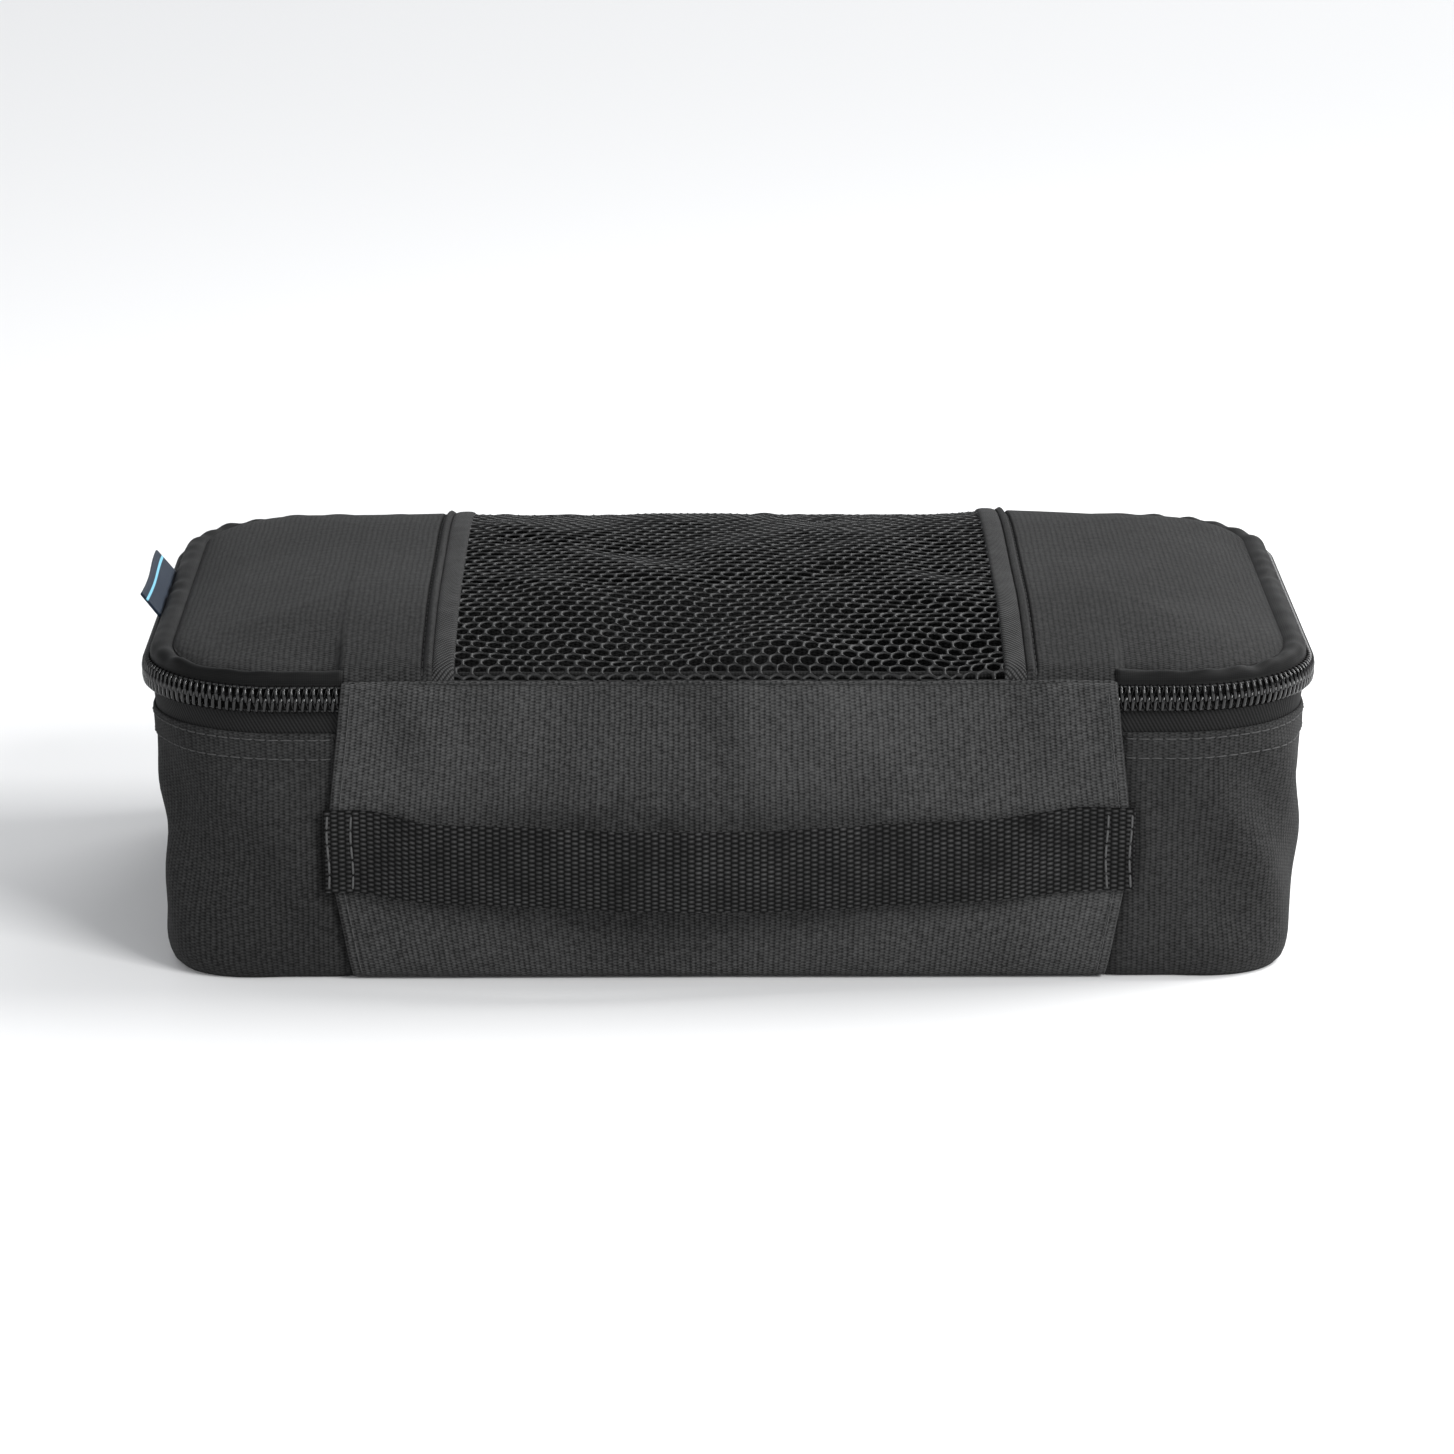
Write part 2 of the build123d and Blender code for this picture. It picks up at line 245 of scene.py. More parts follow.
def seam_line():
    """The lid's edge in plan, as front and back halves, each from left to right."""
    s = np.linspace(0, RIM_LENGTH, 12001)
    place, normal = rim(s)
    edge = place - normal * seam_inset(place[:, 0], place[:, 1])[:, None]
    front, back = edge[edge[:, 1] < 0], edge[edge[:, 1] >= 0]
    return front[np.argsort(front[:, 0])], back[np.argsort(back[:, 0])]


SEAM_FRONT, SEAM_BACK = seam_line()
LID_X = SEAM_BACK[-1, 0] - 0.01 * MM


def depth_table():
    """Share of the way to the back, against share of the cloth's length, at the middle."""
    y = np.linspace(SEAM_FRONT[:, 1].min(), SEAM_BACK[:, 1].max(), 1200)
    z = lid_height(np.zeros_like(y), y)
    return running(joined(y, z)), (y - y[0]) / (y[-1] - y[0])


LID_LENGTHS, LID_SHARES = depth_table()
LID_LENGTH = LID_LENGTHS[-1]


def lid_base(x, along):
    """Point of the smooth lid at x, along metres of cloth from its front edge."""
    x, along = np.broadcast_arrays(x, along)
    y0 = np.interp(x, SEAM_FRONT[:, 0], SEAM_FRONT[:, 1])
    y1 = np.interp(x, SEAM_BACK[:, 0], SEAM_BACK[:, 1])
    y = y0 + (y1 - y0) * np.interp(along, LID_LENGTHS, LID_SHARES)
    return joined(x, y, lid_height(x, y))


def lid_point(x, along):
    """Point of the settled lid."""
    return lid_base(x, along) + settled(LID_FIELD, along / LID_LENGTH, (x / LID_X + 1) / 2)


def spaced(count, length, ease=0.6):
    """Places from 0 to length, closer together near both ends."""
    t = np.linspace(0, 1, count)
    return length * ((1 - ease) * t + ease * (0.5 - 0.5 * np.cos(pi * t)))


# ---------------------------------------------------------------- meshes
def grid_faces(rows, cols, wrap=False):
    """Four-sided faces of a grid of points, its last column joined to its first if wrapped."""
    i = np.arange(rows - 1)[:, None] * cols
    j = np.arange(cols if wrap else cols - 1)[None, :]
    k = (j + 1) % cols
    quads = np.stack([i + j, i + k, i + cols + k, i + cols + j], -1)
    return quads.reshape(-1, 4)


def put(name, data):
    """A new object in the scene."""
    item = bpy.data.objects.new(name, data)
    bpy.context.scene.collection.objects.link(item)
    return item


def build(name, points, faces, uv=None, flip=False):
    """A smooth mesh object; uv is the cloth's own flat coordinates in metres."""
    points = np.asarray(points, float).reshape(-1, 3)
    faces = [list(reversed(f)) for f in faces] if flip else [list(f) for f in faces]
    mesh = bpy.data.meshes.new(name)
    mesh.from_pydata(points.tolist(), [], faces)
    mesh.polygons.foreach_set("use_smooth", [True] * len(mesh.polygons))
    if uv is not None:
        layer = mesh.uv_layers.new(name="cloth")
        corner = np.zeros(len(mesh.loops), int)
        mesh.loops.foreach_get("vertex_index", corner)
        layer.data.foreach_set("uv", np.asarray(uv, float).reshape(-1, 2)[corner].ravel())
    return put(name, mesh)


def settle(points, held, slack, most_slack, pressure, frames=22, reach=3.5 * MM):
    """How a grid of cloth moves when it is slack and filled, held where held is 1."""
    piece = build("settling", points, grid_faces(*points.shape[:2]))
    for name, weights in (("held", held), ("slack", slack)):
        group = piece.vertex_groups.new(name=name)
        weights = np.broadcast_to(weights, points.shape[:2]).ravel()
        for index in np.flatnonzero(weights > 0.001):
            group.add([int(index)], float(weights[index]), "REPLACE")
    cloth = piece.modifiers.new("cloth", "CLOTH")
    rule = cloth.settings
    rule.quality = 6
    rule.mass = 0.12
    rule.tension_stiffness = rule.compression_stiffness = 12
    rule.shear_stiffness = 4
    rule.bending_stiffness = 0.25
    rule.air_damping = 3
    rule.vertex_group_mass = "held"
    rule.vertex_group_shrink = "slack"
    rule.shrink_min, rule.shrink_max = 0.0, -most_slack
    rule.use_pressure = True
    rule.uniform_pressure_force = pressure
    rule.effector_weights.gravity = 0
    cloth.point_cache.frame_start, cloth.point_cache.frame_end = 1, frames
    for frame_number in range(1, frames + 1):
        bpy.context.scene.frame_set(frame_number)
    shape = piece.evaluated_get(bpy.context.evaluated_depsgraph_get()).to_mesh()
    found = np.zeros(points.size)
    shape.vertices.foreach_get("co", found)
    bpy.context.scene.frame_set(1)
    bpy.data.objects.remove(piece)
    move = found.reshape(points.shape) - points
    length = np.linalg.norm(move, axis=-1, keepdims=True)
    return move * reach * np.tanh(length / reach) / np.maximum(length, 1e-9)


def sample(field, row, col):
    """Smooth value of a grid at fractional rows and columns."""
    row, col = np.broadcast_arrays(row, col)
    first_row, first_col = np.floor(row).astype(int), np.floor(col).astype(int)

    def weights(t):
        return [((2 - t) * t - 1) * t / 2, ((3 * t - 5) * t * t + 2) / 2,
                ((4 - 3 * t) * t + 1) * t / 2, (t - 1) * t * t / 2]

    total = np.zeros(row.shape + (field.shape[-1],))
    for i, by_row in enumerate(weights(row - first_row), -1):
        for j, by_col in enumerate(weights(col - first_col), -1):
            r = np.clip(first_row + i, 0, field.shape[0] - 1)
            c = np.clip(first_col + j, 0, field.shape[1] - 1)
            total += (by_row * by_col)[..., None] * field[r, c]
    return total


def settled(field, down, across):
    """How far the cloth settles, at shares of its height and width."""
    return sample(field, down * (field.shape[0] - 1), across * (field.shape[1] - 1))


def cloth_uv(points):
    """Flat coordinates of a grid, measured along its middle row and column."""
    rows, cols = points.shape[:2]
    return joined(running(points[rows // 2])[None], running(points[:, cols // 2])[:, None])


def sheet_of(name, points, uv=None, flip=False, thickness=WALL_CLOTH, wrap=False):
    """Cloth from a grid of points, thickened on the side away from its normal."""
    rows, cols = points.shape[:2]
    uv = cloth_uv(points) if uv is None else uv
    piece = build(name, points, grid_faces(rows, cols, wrap), uv, flip)
    solid = piece.modifiers.new("thickness", "SOLIDIFY")
    solid.thickness = thickness
    solid.offset = -1
    solid.use_even_offset = True
    return piece


def bars(paths, radius, up, sides=6, flat=1.0):
    """Points and faces of round bars along paths, an array of (bars, points, 3)."""
    paths = np.asarray(paths, float)
    count, steps = paths.shape[:2]
    ahead = np.gradient(paths, axis=1)
    ahead /= np.linalg.norm(ahead, axis=2, keepdims=True)
    up = np.broadcast_to(up, paths.shape)
    side = np.cross(ahead, up)
    side /= np.linalg.norm(side, axis=2, keepdims=True)
    top = np.cross(side, ahead)
    angle = np.linspace(0, 2 * pi, sides, endpoint=False)[None, None, :, None]
    size = np.broadcast_to(np.asarray(radius, float), (steps,))[None, :, None, None]
    ring = side[:, :, None] * np.cos(angle) + flat * top[:, :, None] * np.sin(angle)
    points = paths[:, :, None] + size * ring
    one = grid_faces(steps, sides, wrap=True)
    starts = (np.arange(count) * steps * sides)[:, None, None]
    quads = (one[None] + starts).reshape(-1, 4).tolist()
    first = np.arange(sides)[::-1][None] + starts[:, 0]
    last = np.arange(sides)[None] + (steps - 1) * sides + starts[:, 0]
    return points.reshape(-1, 3), quads + first.tolist() + last.tolist()


def surface_of(piece):
    """Search tree of a piece's own mesh."""
    mesh = piece.data
    return BVHTree.FromPolygons([v.co[:] for v in mesh.vertices], [p.vertices[:] for p in mesh.polygons])


def snap(tree, points, normals, reach=8 * MM):
    """Points moved along their normals onto a surface, where it is within reach."""
    found = []
    for point, normal in zip(points, normals):
        start = Vector(point) + Vector(normal) * reach
        hit = tree.ray_cast(start, -Vector(normal), 2 * reach)[0]
        found.append(hit if hit is not None else Vector(point))
    return np.array(found)


def stitches(name, line, normals, length=2.6 * MM, gap=0.5 * MM, radius=0.2 * MM, lift=0.14 * MM):
    """A row of thread along a line: one raised bar for each stitch."""
    run = running(line)
    count = max(int(run[-1] / (length + gap)), 1)
    t = np.array([0, 0.12, 0.5, 0.88, 1.0])
    at = (np.arange(count)[:, None] + t[None] * length / (length + gap)) * run[-1] / count
    rise = np.array([-0.25, 0.4, 1.0, 0.4, -0.25]) * lift

    def at_stitches(values):
        return np.stack([np.interp(at, run, values[:, i]) for i in range(3)], -1)

    up = at_stitches(normals)
    paths = at_stitches(line) + up * rise[None, :, None]
    points, faces = bars(paths, np.array([0.55, 1, 1, 1, 0.55]) * radius, up)
    return build(name, points, faces)


def lid_field():
    """Settling of the lid: taut panels, slack net."""
    x = np.linspace(-LID_X, LID_X, 115)[None]
    along = np.linspace(0, LID_LENGTH, 69)[:, None]
    base = lid_base(x, along)
    from_side = inside(base[..., 0], base[..., 1]) - 2 * MM
    from_edge = np.minimum(np.minimum(along, LID_LENGTH - along), from_side)
    held = smooth(5 * MM, 1 * MM, from_edge)
    binding = np.exp(-((np.abs(x) - WINDOW_HALF - 3 * MM) / (4 * MM)) ** 2)
    held = np.maximum(held, 0.25 * binding * np.ones_like(along))
    net = smooth(WINDOW_HALF + 1 * MM, WINDOW_HALF - 5 * MM, np.abs(x))
    return settle(base, held, 0.25 + 0.75 * net, LID_SLACK, LID_PRESSURE)


def gusset_field():
    """Settling of the walls, in steps of length and height."""
    s = np.linspace(0, RIM_LENGTH, 421)[None]
    z = np.linspace(0, GUSSET_TOP, 26)[:, None]
    place = rim(s[0])[0]
    base = on_rim(s, -lean(z) + 0.3 * MM * ripple(on_rim(s, 0, z), 40 * MM, 22), z)
    hem_from, hem_to = GUSSET_TOP - 9 * MM, GUSSET_TOP - 6 * MM
    held = np.maximum(smooth(6 * MM, 1 * MM, z), smooth(hem_from, hem_to, z))
    covered = smooth(96 * MM, 91 * MM, np.abs(place[:, 0])) * (place[:, 1] < 0)
    held = np.maximum(held, covered[None])
    return settle(base, held, 1.0, WALL_SLACK, WALL_PRESSURE)


def front_field():
    """Settling of the front panel."""
    share = np.linspace(-1, 1, 75)[None]
    z = np.linspace(0, HINGE_Z, 31)[:, None]
    base = front_base(share, z)
    ends = smooth(0.90, 0.95, np.abs(share))
    seams = np.maximum(smooth(4 * MM, 1 * MM, z), smooth(HINGE_Z - 3 * MM, HINGE_Z - 1 * MM, z))
    held = np.maximum(ends, seams)
    return settle(base, held, 1.0, WALL_SLACK, WALL_PRESSURE)


def finish(piece, paint, body, slot, *nodes):
    """Gives a piece its material and body, and hides the CAD nodes that it stands for. The slot is not
    used.
    """
    if paint:
        piece.data.materials.append(paint)
    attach(piece, body)
    if nodes:
        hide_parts(*nodes)
    return piece


def sewn(tree, name, line, normal, paint, body, *nodes, **size):
    """A row of stitches laid on a piece's surface."""
    normals = np.broadcast_to(normal, line.shape)
    row = stitches(name, snap(tree, line, normals), normals, **size)
    return finish(row, paint, body, "thread", *nodes)


# ---------------------------------------------------------------- materials
class Paint:
    """A Principled material, with short calls for the nodes of its pattern."""

    def __init__(self, name, roughness=0.8, specular=0.3, sheen=0.0, sheen_roughness=0.4, metallic=0.0):
        self.material = bpy.data.materials.new(name)
        self.material.use_nodes = True
        self.tree = self.material.node_tree
        self.shader = self.tree.nodes["Principled BSDF"]
        self.shader.inputs["Roughness"].default_value = roughness
        self.shader.inputs["Specular IOR Level"].default_value = specular
        self.shader.inputs["Sheen Weight"].default_value = sheen
        self.shader.inputs["Sheen Roughness"].default_value = sheen_roughness
        self.shader.inputs["Metallic"].default_value = metallic

    def node(self, kind, **inputs):
        made = self.tree.nodes.new(kind)
        for key, value in inputs.items():
            self.feed(made.inputs[key.replace("_", " ")], value)
        return made

    def feed(self, socket, value):
        if isinstance(value, bpy.types.NodeSocket):
            self.tree.links.new(value, socket)
        else:
            socket.default_value = value

    def math(self, operation, a, b=0.0, c=0.0):
        made = self.tree.nodes.new("ShaderNodeMath")
        made.operation = operation
        for socket, value in zip(made.inputs, (a, b, c)):
            self.feed(socket, value)
        return made.outputs[0]

    def cloth(self):
        """The cloth's flat coordinates, across and along, in metres."""
        uv = self.tree.nodes.new("ShaderNodeUVMap")
        uv.uv_map = "cloth"
        parts = self.node("ShaderNodeSeparateXYZ", Vector=uv.outputs[0])
        return parts.outputs[0], parts.outputs[1]

    def wave(self, value, pitch):
        """0 to 1 and back over each pitch."""
        turned = self.math("MULTIPLY_ADD", value, 2 * pi / pitch, 0.0)
        return self.math("MULTIPLY_ADD", self.math("SINE", turned), 0.5, 0.5)

    def brick(self, column, value, pitch):
        """The same, half a pitch out in every second column."""
        shift = self.math("MULTIPLY", self.math("SIGN", self.math("SUBTRACT", column, 0.5)), pi / 2)
        turned = self.math("MULTIPLY_ADD", value, 2 * pi / pitch, shift)
        return self.math("MULTIPLY_ADD", self.math("SINE", turned), 0.5, 0.5)

    def weave(self, u, v, pitch_u, pitch_v):
        return self.math("MULTIPLY", self.wave(u, pitch_u), self.wave(v, pitch_v))

    def noise(self, scale, detail=3.0, roughness=0.6):
        """Fine unevenness, with scale patches to a metre."""
        place = self.tree.nodes.new("ShaderNodeTexCoord").outputs["Object"]
        inputs = {"Scale": scale, "Detail": detail, "Roughness": roughness}
        return self.node("ShaderNodeTexNoise", Vector=place, **inputs).outputs[0]

    def ramp(self, value, low_at, high_at, low_value, high_value):
        made = self.node("ShaderNodeMapRange", Value=value)
        for index, number in enumerate((low_at, high_at, low_value, high_value), 1):
            made.inputs[index].default_value = number
        return made.outputs[0]

    def colour(self, dark, light, share):
        mix = self.node("ShaderNodeMix")
        mix.data_type = "RGBA"
        self.feed(mix.inputs["Factor"], share)
        mix.inputs[6].default_value = (*dark, 1)
        mix.inputs[7].default_value = (*light, 1)
        self.feed(self.shader.inputs["Base Color"], mix.outputs[2])

    def bump(self, height, distance, strength=1.0):
        made = self.node("ShaderNodeBump", Height=height, Distance=distance, Strength=strength)
        self.feed(self.shader.inputs["Normal"], made.outputs[0])

    def rough(self, value, low_rough, high_rough):
        self.feed(self.shader.inputs["Roughness"], self.ramp(value, 0, 1, low_rough, high_rough))


def grey(value):
    return (value, value, value)


def panel_paint(name, painted_light_tone):
    """Charcoal nylon: ribs 1.3 mm apart, with dots 0.8 mm apart in brick order.
    Its tone is painted shade: the same cloth, made darker for the pieces that lie more in shade."""
    paint = Paint(name, roughness=0.85, specular=0.10, sheen=0.02, sheen_roughness=0.5)
    u, v = paint.cloth()
    waver = paint.noise(90, 2)
    u = paint.math("MULTIPLY_ADD", waver, 0.9 * MM, u)
    groove = paint.math("POWER", paint.wave(u, RIB), 0.45)
    dots = paint.brick(paint.wave(u, 2 * RIB), v, 0.8 * MM)
    yarn = paint.weave(u, v, RIB / 4, 0.36 * MM)
    slub = paint.noise(900, 2)
    patch = paint.noise(14, 3)
    height = paint.math("MULTIPLY_ADD", groove, 0.4, paint.math("MULTIPLY", dots, 0.42))
    height = paint.math("MULTIPLY_ADD", yarn, 0.26, height)
    share = paint.math("MULTIPLY_ADD", height, 0.95, paint.ramp(slub, 0.3, 0.7, -0.36, 0.04))
    share = paint.math("ADD", share, paint.ramp(patch, 0.3, 0.7, -0.10, 0.12))
    # painted shade: the tone darkens the cloth of the walls, base and lid compared with the front panel
    paint.colour(grey(0.008 * painted_light_tone), grey(0.074 * painted_light_tone), share)
    paint.rough(paint.math("ADD", height, paint.math("MULTIPLY", slub, 0.3)), 0.75, 0.95)
    paint.bump(height, 0.18 * MM, 0.85)
    return paint.material


def net_paint():
    """Black knitted monofilament, glossy where its loops turn."""
    paint = Paint("net", roughness=0.5, specular=0.22)
    twist = paint.noise(1500, 2)
    paint.colour(grey(0.006), grey(0.020), paint.ramp(twist, 0.35, 0.7, 0, 1))
    paint.rough(twist, 0.28, 0.62)
    paint.bump(twist, 0.12 * MM, 0.7)
    return paint.material


def tape_paint():
    """Zip tape: fine twill running slantwise."""
    paint = Paint("zip_tape", roughness=0.75, specular=0.1)
    u, v = paint.cloth()
    slant = paint.math("ADD", u, paint.math("MULTIPLY", v, 0.55))
    twill = paint.wave(slant, 0.95 * MM)
    thread = paint.wave(v, 0.4 * MM)
    height = paint.math("MULTIPLY_ADD", twill, 0.75, paint.math("MULTIPLY", thread, 0.25))
    paint.colour(grey(0.002), grey(0.016), height)
    paint.rough(paint.noise(60), 0.6, 0.85)
    paint.bump(height, 0.12 * MM, 0.8)
    return paint.material


def rim_paint():
    """Smooth close-woven edging round the lid."""
    paint = Paint("rim_cloth", roughness=0.7, specular=0.1, sheen=0.02)
    u, v = paint.cloth()
    rib = paint.weave(u, v, 0.5 * MM, 0.5 * MM)
    patch = paint.ramp(paint.noise(45), 0.3, 0.7, -0.2, 0.3)
    paint.colour(grey(0.002), grey(0.010), paint.math("ADD", rib, patch))
    paint.rough(paint.noise(80), 0.5, 0.75)
    paint.bump(rib, 0.05 * MM, 0.5)
    return paint.material


def webbing_paint():
    """Polypropylene webbing: rows of fat wefts in a brick pattern over dark ground."""
    paint = Paint("webbing", roughness=0.55, specular=0.12)
    u, v = paint.cloth()
    column = paint.wave(u, 3.4 * MM)
    row = paint.brick(column, v, 1.15 * MM)
    swell = paint.math("ABSOLUTE", paint.math("MULTIPLY_ADD", column, 2.0, -1.0))
    weft = paint.math("MULTIPLY", row, swell)
    worn = paint.ramp(paint.noise(120), 0.2, 0.7, 0.3, 1.1)
    paint.colour(grey(0.0008), grey(0.052), paint.math("MULTIPLY", weft, worn))
    paint.rough(paint.math("SUBTRACT", 1.0, weft), 0.45, 0.85)
    paint.bump(weft, 0.5 * MM, 1.0)
    return paint.material


def binding_paint():
    """Panel cloth cut on the bias, so that its ribs run slantwise."""
    paint = Paint("bias_cloth", roughness=0.8, specular=0.1, sheen=0.02)
    u, v = paint.cloth()
    rib = paint.wave(paint.math("ADD", u, v), 1.25 * MM)
    dots = paint.wave(paint.math("SUBTRACT", u, v), 0.75 * MM)
    dots = paint.math("MULTIPLY_ADD", dots, 0.55, 0.45)
    height = paint.math("MULTIPLY", paint.math("POWER", rib, 0.6), dots)
    share = paint.math("ADD", height, paint.ramp(paint.noise(200), 0.3, 0.7, -0.15, 0.1))
    paint.colour(grey(0.005), grey(0.055), share)
    paint.rough(height, 0.9, 0.7)
    paint.bump(height, 0.2 * MM, 0.85)
    return paint.material


def coil_paint():
    paint = Paint("coil", roughness=0.2, specular=0.4)
    paint.shader.inputs["Coat Weight"].default_value = 0.12
    paint.shader.inputs["Coat Roughness"].default_value = 0.06
    scuff = paint.noise(300, 3)
    paint.colour(grey(0.002), grey(0.006), scuff)
    paint.rough(scuff, 0.08, 0.22)
    paint.bump(scuff, 0.03 * MM, 0.3)
    return paint.material


def thread_paint(name, dark, light, low_rough, specular, sheen=0.0):
    paint = Paint(name, specular=specular, sheen=sheen)
    ply = paint.noise(2500, 2)
    paint.colour(grey(dark), grey(light), ply)
    paint.rough(ply, low_rough, low_rough + 0.3)
    paint.bump(ply, 0.06 * MM, 0.6)
    return paint.material


def seam_tape_paint():
    paint = Paint("seam_tape", roughness=0.85, specular=0.15, sheen=0.03)
    u, v = paint.cloth()
    weave = paint.weave(u, v, 0.8 * MM, 0.8 * MM)
    paint.colour(grey(0.005), grey(0.024), weave)
    paint.rough(paint.noise(50), 0.75, 0.95)
    paint.bump(weave, 0.1 * MM, 0.6)
    return paint.material


def metal_paint():
    """Black enamel over a zinc casting, a little worn where it rubs."""
    paint = Paint("enamel", roughness=0.3, specular=0.5, metallic=0.6)
    wear = paint.noise(420, 6, 0.75)
    rubbed = paint.ramp(wear, 0.58, 0.80, 0, 1)
    paint.colour(grey(0.028), grey(0.20), rubbed)
    paint.rough(wear, 0.2, 0.45)
    paint.bump(wear, 0.02 * MM, 0.3)
    return paint.material


def label_paint():
    """Blank dark blue damask with a pale woven line inside its edges."""
    paint = Paint("label", roughness=0.65, specular=0.2, sheen=0.03)
    u, v = paint.cloth()
    weave = paint.weave(u, v, 0.45 * MM, 0.3 * MM)
    line = paint.math("COMPARE", v, 5.2 * MM, 0.35 * MM)
    share = paint.math("MAXIMUM", line, paint.math("MULTIPLY", weave, 0.06))
    paint.colour((0.004, 0.008, 0.020), (0.16, 0.42, 0.55), share)
    paint.rough(weave, 0.55, 0.75)
    paint.bump(weave, 0.06 * MM, 0.6)
    return paint.material


# One charcoal cloth in lit and shaded copies: full tone on the front panel, painted shade on the walls,
# base and lid.
PANEL = panel_paint("front_cloth", 1.0)
WALL, LID = panel_paint("wall_cloth", 0.56), panel_paint("lid_cloth", 0.54)
NET, TAPE, RIM = net_paint(), tape_paint(), rim_paint()
WEBBING, BIAS, COIL = webbing_paint(), binding_paint(), coil_paint()
THREAD = thread_paint("thread", 0.025, 0.09, 0.45, specular=0.3, sheen=0.05)
SEAM_THREAD = thread_paint("seam_thread", 0.012, 0.085, 0.55, specular=0.2)
SEAM_TAPE, METAL, LABEL = seam_tape_paint(), metal_paint(), label_paint()


# ---------------------------------------------------------------- walls
def gusset():
    """Strip round the sides and back, hemmed at its top, rolled under at the base."""
    s = np.linspace(ZIP_START - 1 * MM, RIM_LENGTH - ZIP_START + 1 * MM, 640)
    z = np.concatenate([[0, 0.15 * MM], spaced(30, GUSSET_TOP - 1 * MM, 0.3)[1:]])
    inset = lean(z)
    inset[0] += TURN_UNDER
    z, inset = z[:, None], inset[:, None]
    flat = on_rim(s[None], -inset, z)
    place, normal = rim(s)
    corner = (2 * np.abs(normal[:, 0] * normal[:, 1]))[None]
    free = np.maximum(smooth(90 * MM, 104 * MM, np.abs(place[:, 0])), place[:, 1] > 0)
    middle = np.sin(pi * np.clip(z / GUSSET_TOP, 0, 1)) ** 0.7 * free
    push = middle * (0.8 * MM * ripple(flat, 70 * MM, 21) + 0.5 * MM * ripple(flat, 26 * MM, 22))
    slant = s[None] + 0.5 * z
    drag = ripple_along(slant, 26 * MM, 23) * 0.75 * MM
    push += corner * middle * drag
    at_front = (place[:, 1] < -WALL_Y + 2 * MM)[None]
    beside = np.abs(place[:, 0])[None] - panel_half(z) - 0.7 * MM
    push = push - 0.8 * MM * at_front * np.exp(-(beside / (1.6 * MM)) ** 2)
    push = push - 1.3 * MM * at_front * smooth(0, -2 * MM, beside) + square(normal[None], z)
    hem = smooth(GUSSET_TOP - HEM - 0.6 * MM, GUSSET_TOP - HEM + 0.4 * MM, z) * HEM_STEP
    walls = on_rim(s[None], -inset + push + hem, z)
    walls += settled(GUSSET_FIELD, z / GUSSET_TOP, s[None] / RIM_LENGTH)
    edge = -lean(GUSSET_TOP)
    turned = ((0.42, -0.5), (0.30, -0.15), (0.02, 0.0), (-0.3, -0.15))
    fold = [on_rim(s[None], edge + out * MM, GUSSET_TOP + up * MM) for out, up in turned]
    points = np.concatenate([walls] + fold)
    piece = sheet_of("side_gusset_cloth", points)
    return finish(piece, WALL, "body", "panel_fabric", "side_gusset")


def panel_half(z):
    """Half width of the front panel at a height."""
    strap_z = (STRAP_LOW[2] + STRAP_HIGH[2]) / 2
    return np.interp(z, [0, strap_z, HINGE_Z], [PANEL_BASE_HALF, FRONT_HALF, PANEL_TOP_HALF])


def front_base(share, z):
    """Smooth outer face of the front panel, share of its half width from the middle."""
    share, z = np.broadcast_arrays(share, z)
    x = share * panel_half(z)
    flat = joined(x, 0.0, z)
    out = 1.0 * MM - lean(z)
    zip_under = smooth(70 * MM, 86 * MM, np.abs(x)) * np.exp(-((z - CHAIN_Z) / (5.5 * MM)) ** 2)
    out = out + 1.9 * MM * zip_under
    free = np.sin(pi * np.clip(z / HINGE_Z, 0, 1)) ** 0.7 * smooth(1.0, 0.82, np.abs(share))
    out = out + free * (0.7 * MM * ripple(flat, 55 * MM, 31) + 0.22 * MM * ripple(flat, 17 * MM, 32))
    upper = smooth(40 * MM, 68 * MM, z) * smooth(HINGE_Z, HINGE_Z - 3 * MM, z)
    gathers = ripple_along(x + 0.2 * z, 17 * MM, 33)
    upper = upper * smooth(1.0, 0.86, np.abs(share))
    out = out + upper * 0.95 * MM * gathers - 0.9 * MM * smooth(HINGE_Z - 1.3 * MM, HINGE_Z, z)
    return joined(x, -WALL_Y - out, z)


def front_point(share, z):
    """Outer face of the settled front panel."""
    return front_base(share, z) + settled(FRONT_FIELD, z / HINGE_Z, (share + 1) / 2)


def front_panel():
    """Panel over the zip's ends; its sides are turned in, its top meets the hinge."""
    share = np.concatenate([[-1.0, -1.0], spaced(150, 2.0, 0.2) - 1.0, [1.0, 1.0]])
    z = spaced(46, HINGE_Z - 0.1 * MM, 0.4)
    points = front_point(share[None], z[:, None])
    for col, turn in ((0, 1.3), (1, 0.5), (-2, 0.5), (-1, 1.3)):
        points[:, col, 1] += turn * MM
        points[:, col, 0] += np.sign(col + 0.5) * -0.25 * MM * (turn > 1)
    points[0, :, 1] += TURN_UNDER
    points[:, :, 2] = np.maximum(points[:, :, 2], 0.05 * MM)
    piece = sheet_of("front_panel_cloth", points, thickness=FRONT_CLOTH)
    return finish(piece, PANEL, "body", "panel_fabric", "front_panel")


